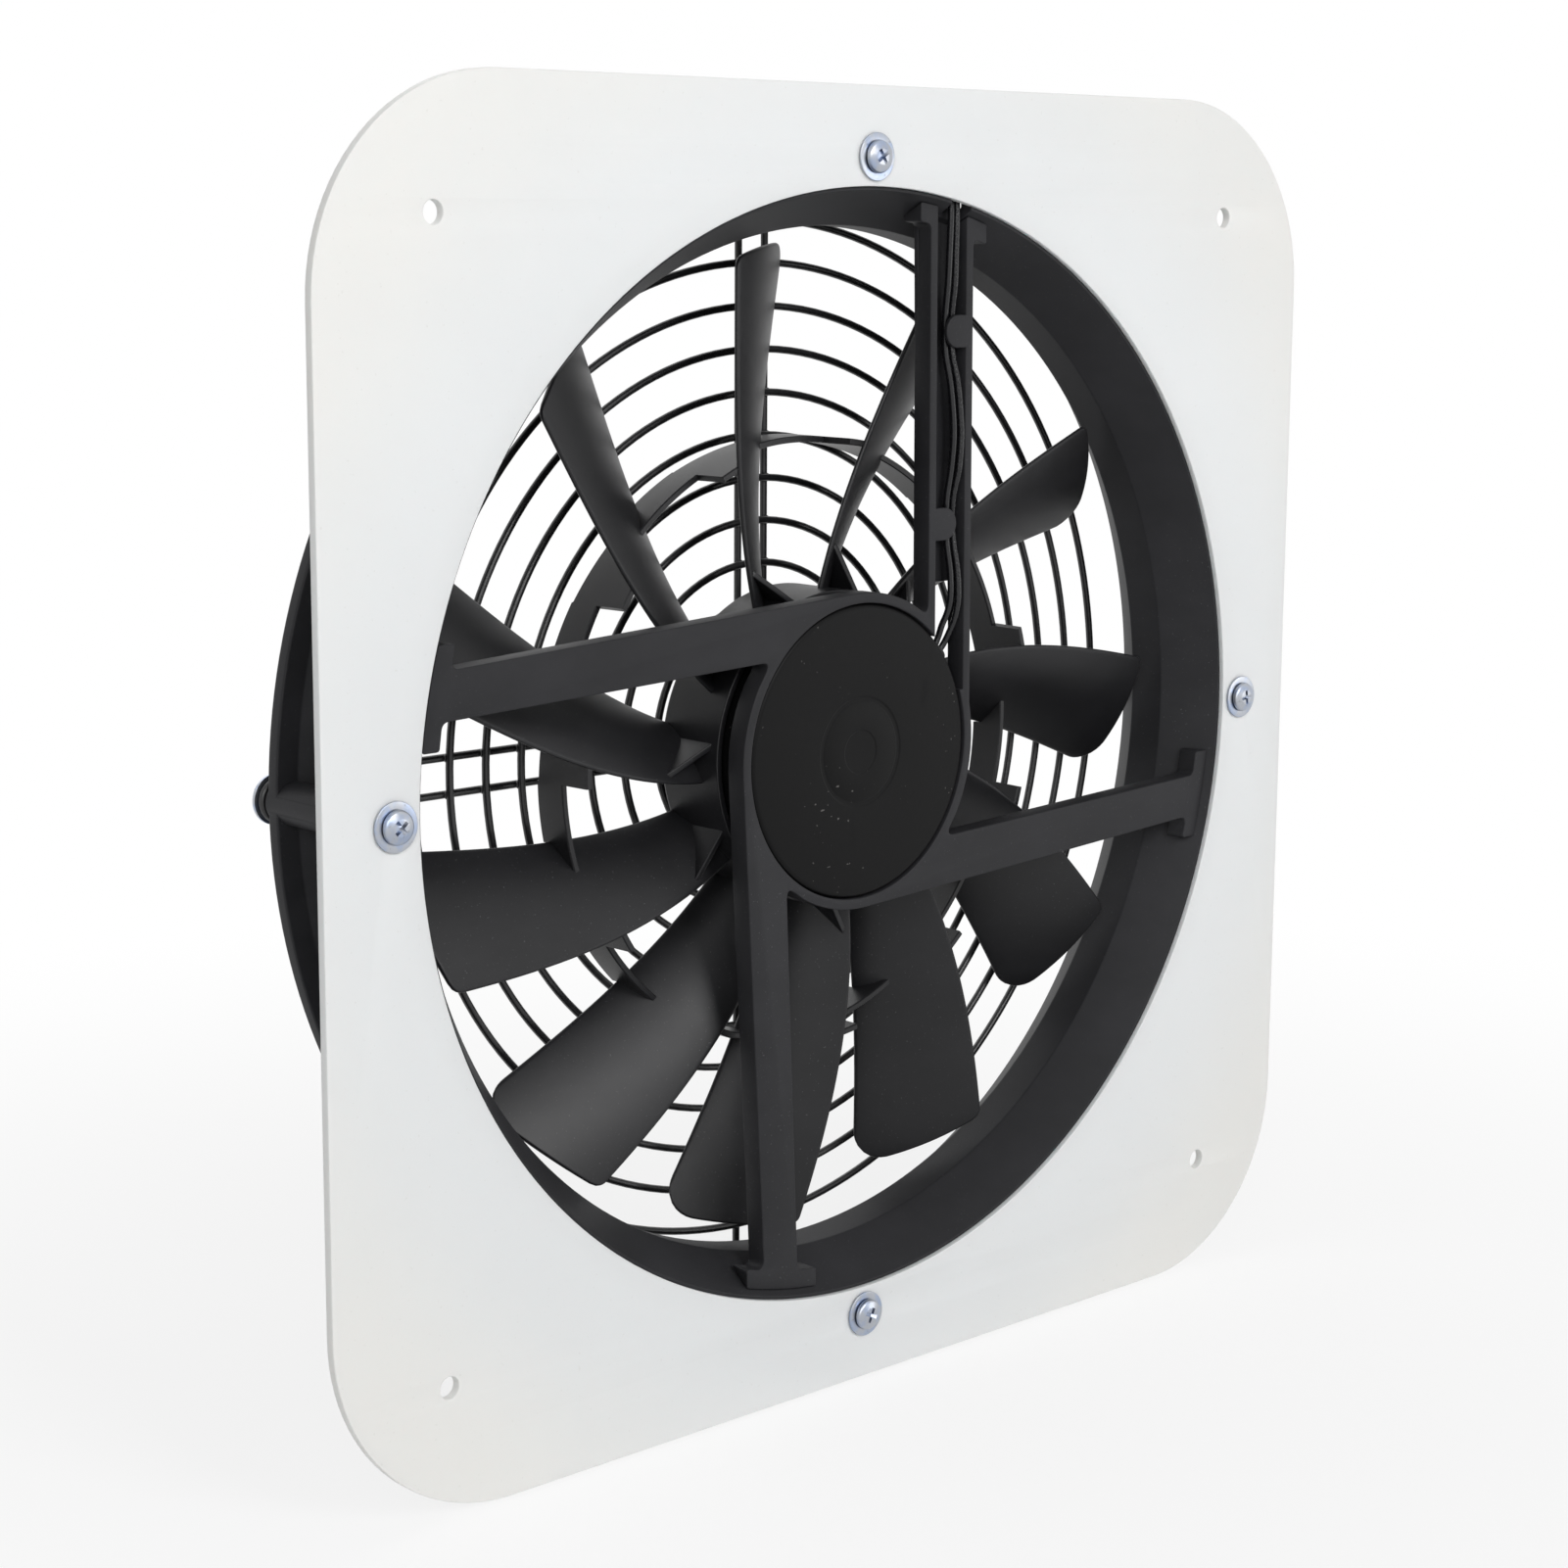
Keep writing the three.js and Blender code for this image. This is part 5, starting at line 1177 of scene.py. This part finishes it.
class FAN_OT_rotor(bpy.types.Operator):
    """Eleven-blade rotor: hub cup, blades, root gussets and the mid-span band"""

    bl_idname = "fan.rotor"
    bl_label = "Rotor"

    def execute(self, context):
        shells = Shells()
        hub = size("hub_radius")
        inner = hub - HUB_WALL
        floor = HUB_BACK - HUB_WALL
        slope = HUB_SLOPE - 1.17        # the same slope inside, one wall further in
        cup = [(inner, HUB_FRONT, 0.5), (hub, HUB_FRONT, 0.5), (hub, HUB_BACK - HUB_SLOPE, 1.6),
               (hub - HUB_SLOPE, HUB_BACK, 1.6), (TAIL_BORE, HUB_BACK, 0.3), (TAIL_BORE, floor, 0.2),
               (inner - slope, floor, 1.0), (inner, floor - slope, 1.0)]
        shells.turned(softened(cup, 8), 176)
        points, faces = blade_grid()
        for number in range(BLADES):
            place = spun(360 * number / BLADES)
            shells.add(points, faces, place)
            gusset(shells, place)
        self.band(shells)
        collar = [(9.5, 41.8), (12.5, 41.8), (12.5, 42.6), (9.5, 42.6)]
        shells.turned(rounded(collar, 0.25, 3), 64)
        put("rotor_moulding", shells.mesh("rotor_moulding"), "black_plastic", ["fan_rotor"], "rotor",
            "satin_plastic")
        return {"FINISHED"}

    @staticmethod
    def band(shells):
        """The ring at mid span, which steps forward before each blade and ends on its middle."""
        edge, round_in = 0.4, 0.3
        pitch = 360 / BLADES
        start = BAND_STEP_ANGLE
        middle = []
        for step in range(25):
            x, y, z = blade_point(step / 24, (BAND_INNER + BAND_OUTER) / 2, 0)
            middle.append((math.degrees(math.atan2(-z, x)), y))

        def front_at(angle):
            if angle <= middle[0][0]:
                return BAND_STEP_FRONT
            for (a, y), (b, following) in zip(middle, middle[1:]):
                if angle <= b:
                    on_blade = y + (following - y) * (angle - a) / (b - a)
                    return min(BAND_FRONT, max(BAND_STEP_FRONT, on_blade))
            return BAND_FRONT

        def back_at(angle):
            if angle < BAND_STEP_END:
                return BAND_STEP_BACK - 0.127 * (angle - start)
            return BAND_BACK - 0.05 * (angle - BAND_STEP_END)

        hair = 0.05                 # between the two angles that make a step upright
        angles = [start + hair] + [start + pitch * step / 60 for step in range(1, 60)]
        angles += [start + pitch - hair, BAND_STEP_END - hair, BAND_STEP_END + hair]
        angles.sort()
        points = []
        for number in range(BLADES):
            for angle in angles:
                turn = math.radians(angle + pitch * number)
                low, high = front_at(angle), back_at(angle)
                inside, outside = BAND_INNER + round_in, BAND_OUTER - round_in
                ring = [(BAND_INNER, low + edge), (inside, low), (outside, low),
                        (BAND_OUTER, low + edge), (BAND_OUTER, high - edge), (outside, high),
                        (inside, high), (BAND_INNER, high - edge)]
                points += [(r * math.cos(turn), y, -r * math.sin(turn)) for r, y in ring]
        shells.add(points, ring_faces(len(angles) * BLADES, 8))


# ---- guard ---------------------------------------------------------------------------------------
GUARD_Y = 48.4
STAY_Y = 50.425
STAY_RADIUS = 1.15
STAY_HALF_GAP = 5.4                 # half the distance between a stay's two wires
RING_COUNT = 11
RING_PITCH = 13.16


class FAN_OT_guard(bpy.types.Operator):
    """Welded wire guard: eleven rings and four hairpin stays that loop round the bolts"""

    bl_idname = "fan.guard"
    bl_label = "Guard"

    def execute(self, context):
        shells = Shells()
        wire = size("guard_wire")
        outer = size("throat_radius") + 1.9
        radii = [outer - RING_PITCH * number for number in range(RING_COUNT)]
        for radius in radii:
            steps = int(40 + radius * 0.9)
            path = [(x, GUARD_Y, z) for x, z in circle(radius, steps)]
            shells.tube(path, wire, 12, True)
        tail = radii[-1] - STAY_RADIUS
        half = STAY_HALF_GAP
        loop = arc(half, 180, 0, 18, (0, BOLT_CIRCLE))
        heights = [tail + (BOLT_CIRCLE - tail) * step / 12 for step in range(12)]
        route = [(-half, z) for z in heights] + loop + [(half, z) for z in reversed(heights)]
        for quarters in range(4):
            place = place_quarter(quarters)
            shells.tube([(x, STAY_Y, z) for x, z in route], STAY_RADIUS, 12, False, place)
            for radius in radii:
                for x in (-half, half):
                    z = math.sqrt(radius ** 2 - x ** 2)
                    self.weld(shells, x, z, place)
        put("guard_wires", shells.mesh("guard_wires"), "black_wire", ["rear_guard"])
        return {"FINISHED"}

    @staticmethod
    def weld(shells, x, z, place):
        """The small squeezed bead where a stay is welded to a ring."""
        middle = (GUARD_Y + STAY_Y) / 2
        bead = [(0, middle - 0.75, 0), (1.45, middle - 0.5, 0.4), (1.45, middle + 0.5, 0.4),
                (0, middle + 0.75, 0)]
        shells.turned(softened(bead, 2), 12, lambda p: place((p[0] + x, p[1], p[2] + z)))


# ---- fasteners -----------------------------------------------------------------------------------
HEAD_BACK = -4.3
HEAD_FRONT = -6.45
BOLT_SHANK = 2.45
THREAD_START = 24.0
THREAD_PITCH = 0.8
BOLT_END = 58.375
FRONT_WASHER = (7.0, -4.0, -3.3)    # outer radius, front and back
REAR_WASHER = (7.2, 51.875, 52.875)
GUARD_NUT = (8, 2.8, 53.175, 57.175)    # across flats, bore radius, front and back
HUB_NUT = (10, 3.3, 43.45, 45.85)
BOLT_LEANS = {"top": 12, "right": 38, "bottom": -20, "left": 5}     # degrees of the cross recess


def bolt_mesh():
    """A pan-head bolt with a cross recess; the thread shows as fine rings."""
    head = [(0, HEAD_FRONT, 0), (2.4, HEAD_FRONT + 0.06, 2), (4.6, HEAD_FRONT + 0.75, 1.2),
            (4.9, HEAD_BACK - 0.25, 0.3), (4.75, HEAD_BACK, 0.15), (BOLT_SHANK, HEAD_BACK, 0)]
    profile = softened(head, 5)
    y = THREAD_START
    profile.append((BOLT_SHANK, y))
    while y < BOLT_END - 1.2:
        profile += [(BOLT_SHANK, y + 0.1), (BOLT_SHANK - 0.33, y + 0.4), (BOLT_SHANK, y + 0.7)]
        y += THREAD_PITCH
    profile += [(2.0, BOLT_END), (0, BOLT_END)]
    body = one_shell("bolt", lambda s: s.turned(profile, 40))
    cutters = []
    for turn in (45, 135):
        cutters.append(one_shell("slot", lambda s: recess_blade(s, turn)))
    return carved(body, cutters)


def recess_blade(shells, turn):
    """One tapered blade of the cross recess."""
    points = []
    for y, half_x, half_z in ((HEAD_FRONT - 0.5, 2.9, 0.62), (HEAD_FRONT + 1.5, 1.2, 0.40)):
        for x, z in ((-half_x, -half_z), (half_x, -half_z), (half_x, half_z), (-half_x, half_z)):
            points.append(spun(turn)((x, y, z)))
    faces = [(0, 1, 2, 3), (4, 5, 6, 7)]
    faces += [(i, (i + 1) % 4, (i + 1) % 4 + 4, i + 4) for i in range(4)]
    shells.add(points, faces)


def washer_mesh(outer, front, back):
    corners = [(2.85, front), (outer, front), (outer, back), (2.85, back)]
    return one_shell("washer", lambda s: s.turned(rounded(corners, 0.18, 3), 64))


def nut_mesh(flats, bore, front, back):
    """A hexagon nut whose corners are turned off to a shallow cone at both ends."""
    steps = 72
    points = []
    for step in range(steps):
        angle = 2 * math.pi * step / steps
        within = (angle % (math.pi / 3)) - math.pi / 6
        radius = flats / 2 / math.cos(within)
        chamfer = max(0.0, radius - flats / 2) * 0.55 + 0.12
        ring = [(bore, front + 0.3), (bore + 0.35, front), (flats / 2 * 0.95, front),
                (radius, front + chamfer), (radius, back - chamfer), (flats / 2 * 0.95, back),
                (bore + 0.35, back), (bore, back - 0.3)]
        points += [(r * math.cos(angle), y, r * math.sin(angle)) for r, y in ring]
    shells = Shells()
    shells.add(points, ring_faces(steps, 8))
    return shells.mesh("nut")


def moved(mesh, place):
    """A copy of a mesh with every point placed anew, in millimetres."""
    copy = mesh.copy()
    for vertex in copy.vertices:
        vertex.co = Vector(place(tuple(vertex.co / MM))) * MM
    copy.update()
    return copy


class FAN_OT_fasteners(bpy.types.Operator):
    """Bolts, washers and nuts of the plate and guard, and the nut and washer of the rotor"""

    bl_idname = "fan.fasteners"
    bl_label = "Fasteners"

    def execute(self, context):
        bolt = bolt_mesh()
        front_washer = washer_mesh(*FRONT_WASHER)
        rear_washer = washer_mesh(*REAR_WASHER)
        nut = nut_mesh(*GUARD_NUT)
        for quarters, side in enumerate(SIDES):
            turn = spun(BOLT_LEANS[side])
            seat = place_quarter(quarters, (0, 0, BOLT_CIRCLE))
            for kind, mesh, stands_for in (
                    ("bolt", bolt, "panel_bolt"), ("front_washer_ring", front_washer, "front_washer"),
                    ("rear_washer_ring", rear_washer, "guard_washer"), ("hex_nut", nut, "guard_nut")):
                seated = moved(mesh, lambda p: seat(turn(p)))
                put(f"{kind}_{side}", seated, "zinc_steel", [f"{stands_for}_{side}"])
        hub_washer = [(3.3, 42.3), (8, 42.3), (8, 43.3), (3.3, 43.3)]
        mesh = one_shell("hub_washer_ring", lambda s: s.turned(rounded(hub_washer, 0.2, 3), 64))
        put("hub_washer_ring", mesh, "zinc_steel", ["hub_washer"], "rotor")
        put("hub_hex_nut", nut_mesh(*HUB_NUT), "zinc_steel", ["hub_nut"], "rotor")
        return {"FINISHED"}


# ---- leads ---------------------------------------------------------------------------------------
LEAD_A = (
    (37.2, 9.6, 169), (37.2, 7.2, 169), (37.2, 4.6, 168.3), (37.2, 2.4, 166), (37.2, 1.7, 162),
    (36.9, 1.8, 150), (36.8, 2.2, 140), (36.9, 3.2, 132), (37.1, 3.6, 125), (37.4, 3.4, 118),
    (38.6, 2.4, 110), (39.5, 1.8, 100), (39.8, 1.8, 92), (39.4, 2.4, 83), (38.7, 3.3, 75),
    (38.8, 3.7, 67), (39.1, 3.4, 60), (39.7, 2.4, 52), (39.8, 2.2, 44), (39.4, 3.2, 39),
    (38.9, 4.8, 35.2), (38.4, 5.8, 31.6), (37.2, 6.2, 28.7), (35.5, 6.2, 27.3), (33.5, 6.3, 25.9),
    (32.0, 7.2, 24.8), (31.4, 9.2, 24.3), (31.3, 12, 24.3), (31.3, 18, 24.3), (31.3, 27.3, 24.3))
LEAD_B = (
    (39.6, 9.6, 169), (39.6, 7.2, 169), (39.6, 4.6, 168.3), (39.6, 2.4, 166), (39.6, 1.6, 162),
    (39.3, 1.5, 150), (39.3, 1.7, 140), (39.4, 2.8, 132), (39.6, 3.4, 125), (39.9, 2.8, 118),
    (41.0, 1.6, 110), (41.9, 1.0, 100), (42.2, 0.9, 92), (41.8, 1.4, 83), (41.2, 2.9, 75),
    (41.4, 3.5, 67), (41.6, 2.8, 60), (42.1, 1.6, 52), (42.3, 1.3, 44), (42.1, 2.2, 38),
    (41.6, 4.0, 33.2), (40.6, 5.5, 29.3), (39.0, 6.1, 27.0), (37.1, 6.2, 25.5), (34.9, 6.3, 23.9),
    (33.4, 7.2, 22.8), (32.8, 9.2, 22.4), (32.7, 12, 22.3), (32.7, 18, 22.3), (32.7, 27.3, 22.3))


def smooth_path(points, steps=5):
    """A Catmull-Rom path through the points."""
    path = []
    points = [Vector(point) for point in points]
    for number in range(len(points) - 1):
        b, c = points[number], points[number + 1]
        a = points[number - 1] if number else b * 2 - c
        d = points[number + 2] if number + 2 < len(points) else c * 2 - b
        for step in range(steps):
            t = step / steps
            path.append(0.5 * (2 * b + (c - a) * t + (2 * a - 5 * b + 4 * c - d) * t ** 2
                               + (3 * b - a - 3 * c + d) * t ** 3))
    path.append(points[-1])
    return path


HOUSING = ((33.8, 10.6, 165.5), (43.0, 30.6, 172.5))
LATCH = ((36.8, 15.6, 172.3), (40.0, 25.6, 173.9))
SOCKET_PLACES = (37.2, 39.6)
SOCKET_RADIUS = 0.8
SOCKET_Z = 169
GROOVE_PLACES = (35.0, 41.6)
GROOVE_WIDTH = 0.5


class FAN_OT_leads(bpy.types.Operator):
    """Two lead wires, the grommet at the motor and the connector behind the plate"""

    bl_idname = "fan.leads"
    bl_label = "Leads"

    def execute(self, context):
        radius = size("lead_radius")
        for letter, points, look in (("a", LEAD_A, "lead_sheath"), ("b", LEAD_B, "grained_sheath")):
            mesh = one_shell("lead", lambda s: s.tube(smooth_path(points), radius, 14))
            put(f"lead_{letter}", mesh, "lead_sheath", [f"lead_wire_{letter}"], "fixed", look)
        grommet = [(2.4, 43.0, 0.2), (3.0, 43.0, 0.2), (3.0, 45.3, 0), (3.9, 45.3, 0.2),
                   (3.9, 46.3, 0.45), (2.4, 46.3, 0.35)]
        profile = softened(grommet, 4)
        mesh = one_shell("grommet", lambda s: s.turned(profile, 40, toward_entry))
        put("grommet", mesh, "soft_rubber", ["lead_grommet"])
        self.connector()
        return {"FINISHED"}

    @staticmethod
    def connector():
        """A small two-way housing with its latch, side grooves and two sockets."""
        body = one_shell("housing", lambda s: s.block(*HOUSING, 0.5))
        latch = one_shell("latch", lambda s: s.block(*LATCH, 0.35))
        cutters = []
        for x in SOCKET_PLACES:
            socket = [(0, 25.6), (SOCKET_RADIUS, 25.6), (SOCKET_RADIUS, 32), (0, 32)]
            cutters.append(one_shell("socket", lambda s: s.turned(
                socket, 20, lambda p: (p[0] + x, p[1], p[2] + SOCKET_Z))))
        for z in (164.8, 172.2):
            for x in GROOVE_PLACES:
                low, high = (x, 12.0, z), (x + GROOVE_WIDTH, 32, z + 1.0)
                cutters.append(one_shell("groove", lambda s: s.block(low, high, 0.1)))
        put("connector_housing", carved(body, cutters, [latch]), "natural_nylon", ["lead_connector"])


# ---- solids that keep their shape ----------------------------------------------------------------
INNER = {
    "motor_end_plate": "black_steel", "front_bearing": "bright_steel", "rear_bearing": "bright_steel",
    "motor_shaft": "bright_steel", "magnet_upper": "ferrite", "magnet_lower": "ferrite",
    "brush_holder": "brown_resin", "brush_a": "carbon", "brush_b": "carbon",
    "brush_spring_a": "bright_steel", "brush_spring_b": "bright_steel",
    "motor_screw_right": "zinc_steel", "motor_screw_bottom": "zinc_steel",
    "motor_screw_left": "zinc_steel", "armature_core": "laminated_steel",
    "armature_winding": "enamel_copper", "commutator": "copper",
}


class FAN_OT_inner_pieces(bpy.types.Operator):
    """Finishes of the motor's inner pieces and screws, whose solids stay as they are"""

    bl_idname = "fan.inner_pieces"
    bl_label = "Inner pieces"

    def execute(self, context):
        for node, look in INNER.items():
            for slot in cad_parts[node].material_slots:
                slot.material = finish(look)
        return {"FINISHED"}


# ---- stage, in metres ----------------------------------------------------------------------------
FLOOR_Z = -0.1985
FLOOR_HALF = 6.0
GLOW_START = 0.2                    # distance at which the floor starts to fade to white
GLOW_FULL = 0.75
WORLD_STRENGTH = 0.32
# position, point it looks at, width, height and power
LAMPS = {
    "key": ((-0.10, -1.75, 0.95), (0, 0, -0.04), 0.75, 0.7, 15),
    "left": ((-1.6, -1.5, 0.9), (0, 0, -0.05), 1.0, 1.0, 12),
    "right": ((1.5, -1.6, -0.1), (0, 0, 0), 1.0, 0.6, 5),
    "back": ((0.3, 1.6, 0.9), (0, 0, 0), 1.6, 1.2, 5),
}


def white_to_camera(tree, own, glow, near=1.0):
    """Mixes a plain white glow, seen by the camera and in reflections, with a surface's own look.

    The glow's share is near under the fan and grows to the whole away from it.
    """
    path = tree.node("LightPath").socket.node
    seen = tree.wire(path, "Is Camera Ray")
    for ray in ("Is Glossy Ray", "Is Transmission Ray"):
        seen = tree.node("Math", {"operation": "MAXIMUM"}, {0: seen, 1: tree.wire(path, ray)})
    share = near
    if near < 1:
        place = tree.node("TexCoord", output=3)
        distance = tree.node("VectorMath", {"operation": "LENGTH"}, {0: place}, output=1)
        share = tree.node("MapRange", {"interpolation_type": "SMOOTHSTEP"}, {
            "Value": distance, "From Min": GLOW_START, "From Max": GLOW_FULL, "To Min": near,
            "To Max": 1.0})
    return tree.node("MixShader", {}, {0: seen * share, 1: own, 2: glow})


class FAN_OT_stage(bpy.types.Operator):
    """Floor, plain white surroundings, soft lights and the camera"""

    bl_idname = "fan.stage"
    bl_label = "Stage"

    def execute(self, context):
        scene = context.scene
        scene.view_settings.view_transform = "Standard"
        self.surroundings(scene)
        self.floor(scene)
        for name, settings in LAMPS.items():
            self.lamp(scene, name, *settings)
        self.camera(scene)
        return {"FINISHED"}

    @staticmethod
    def surroundings(scene):
        world = bpy.data.worlds.new("surroundings")
        scene.world = world
        tree = Tree(world)
        own = tree.nodes["Background"]
        own.inputs["Color"].default_value = (1, 1, 1, 1)
        own.inputs["Strength"].default_value = WORLD_STRENGTH
        glow = tree.node("Background", {}, {"Color": (1, 1, 1, 1)})
        mix = white_to_camera(tree, tree.wire(own), glow)
        tree.feed(tree.nodes["World Output"].inputs[0], mix)

    @staticmethod
    def floor(scene):
        mesh = bpy.data.meshes.new("floor")
        half = FLOOR_HALF
        corners = [(x, y, FLOOR_Z) for x, y in ((-half, -half), (half, -half), (half, half),
                                                (-half, half))]
        mesh.from_pydata(corners, [], [(0, 1, 2, 3)])
        floor = bpy.data.objects.new("floor", mesh)
        scene.collection.objects.link(floor)
        made = Finish("floor_white", {
            "Base Color": (0.92, 0.92, 0.92, 1), "Roughness": 0.9, "Specular IOR Level": 0.0})
        glow = made.node("Emission", {}, {"Strength": 1.0})
        mix = white_to_camera(made, made.wire(made.shader), glow, 0.8)
        made.feed(made.nodes["Material Output"].inputs[0], mix)
        mesh.materials.append(made.material)

    @staticmethod
    def lamp(scene, name, position, target, width, height, power):
        data = bpy.data.lights.new(name, "AREA")
        data.shape = "RECTANGLE"
        data.size = width
        data.size_y = height
        data.energy = power
        lamp = bpy.data.objects.new(name, data)
        lamp.location = position
        way = Vector(target) - Vector(position)
        lamp.rotation_euler = way.to_track_quat("-Z", "Y").to_euler()
        scene.collection.objects.link(lamp)

    @staticmethod
    def camera(scene):
        data = bpy.data.cameras.new("camera")
        data.lens = 72.45
        data.sensor_width = 36
        data.clip_start = 0.01
        camera = bpy.data.objects.new("camera", data)
        right = Vector((0.72821, -0.68534, 0.00508))
        up = Vector((0.11631, 0.13088, 0.98455))
        away = Vector((-0.67541, -0.71637, 0.17502))
        turn = Matrix((right, up, away)).transposed().to_4x4()
        camera.matrix_world = Matrix.Translation((-0.6642, -0.66982, 0.15773)) @ turn
        scene.collection.objects.link(camera)
        scene.camera = camera


# ---- sidebar and running -------------------------------------------------------------------------
OPERATORS = (
    FAN_OT_window_plate, FAN_OT_shroud, FAN_OT_spider, FAN_OT_motor, FAN_OT_rotor, FAN_OT_guard,
    FAN_OT_fasteners, FAN_OT_leads, FAN_OT_inner_pieces, FAN_OT_stage)


class FAN_PT_sidebar(bpy.types.Panel):
    """Lists the fan's pieces, sizes and colours"""

    bl_idname = "FAN_PT_sidebar"
    bl_label = "Window Exhaust Fan"
    bl_space_type = "VIEW_3D"
    bl_region_type = "UI"
    bl_category = "Fan"

    def draw(self, context):
        layout = self.layout
        for group in (context.scene.fan_sizes, context.scene.fan_colours):
            box = layout.box()
            for name in group.__annotations__:
                box.prop(group, name)
        for operator in OPERATORS:
            layout.operator(operator.bl_idname)


CLASSES = (FanSizes, FanColours, *OPERATORS, FAN_PT_sidebar)


def register():
    for item in CLASSES:
        bpy.utils.register_class(item)
    bpy.types.Scene.fan_sizes = bpy.props.PointerProperty(type=FanSizes)
    bpy.types.Scene.fan_colours = bpy.props.PointerProperty(type=FanColours)


def unregister():
    del bpy.types.Scene.fan_colours
    del bpy.types.Scene.fan_sizes
    for item in reversed(CLASSES):
        bpy.utils.unregister_class(item)


def main():
    register()
    bpy.ops.fan.stage()
    bpy.ops.fan.window_plate()
    bpy.ops.fan.shroud()
    bpy.ops.fan.spider()
    bpy.ops.fan.motor()
    bpy.ops.fan.rotor()
    bpy.ops.fan.guard()
    bpy.ops.fan.fasteners()
    bpy.ops.fan.leads()
    bpy.ops.fan.inner_pieces()


if __name__ == "__main__":
    main()
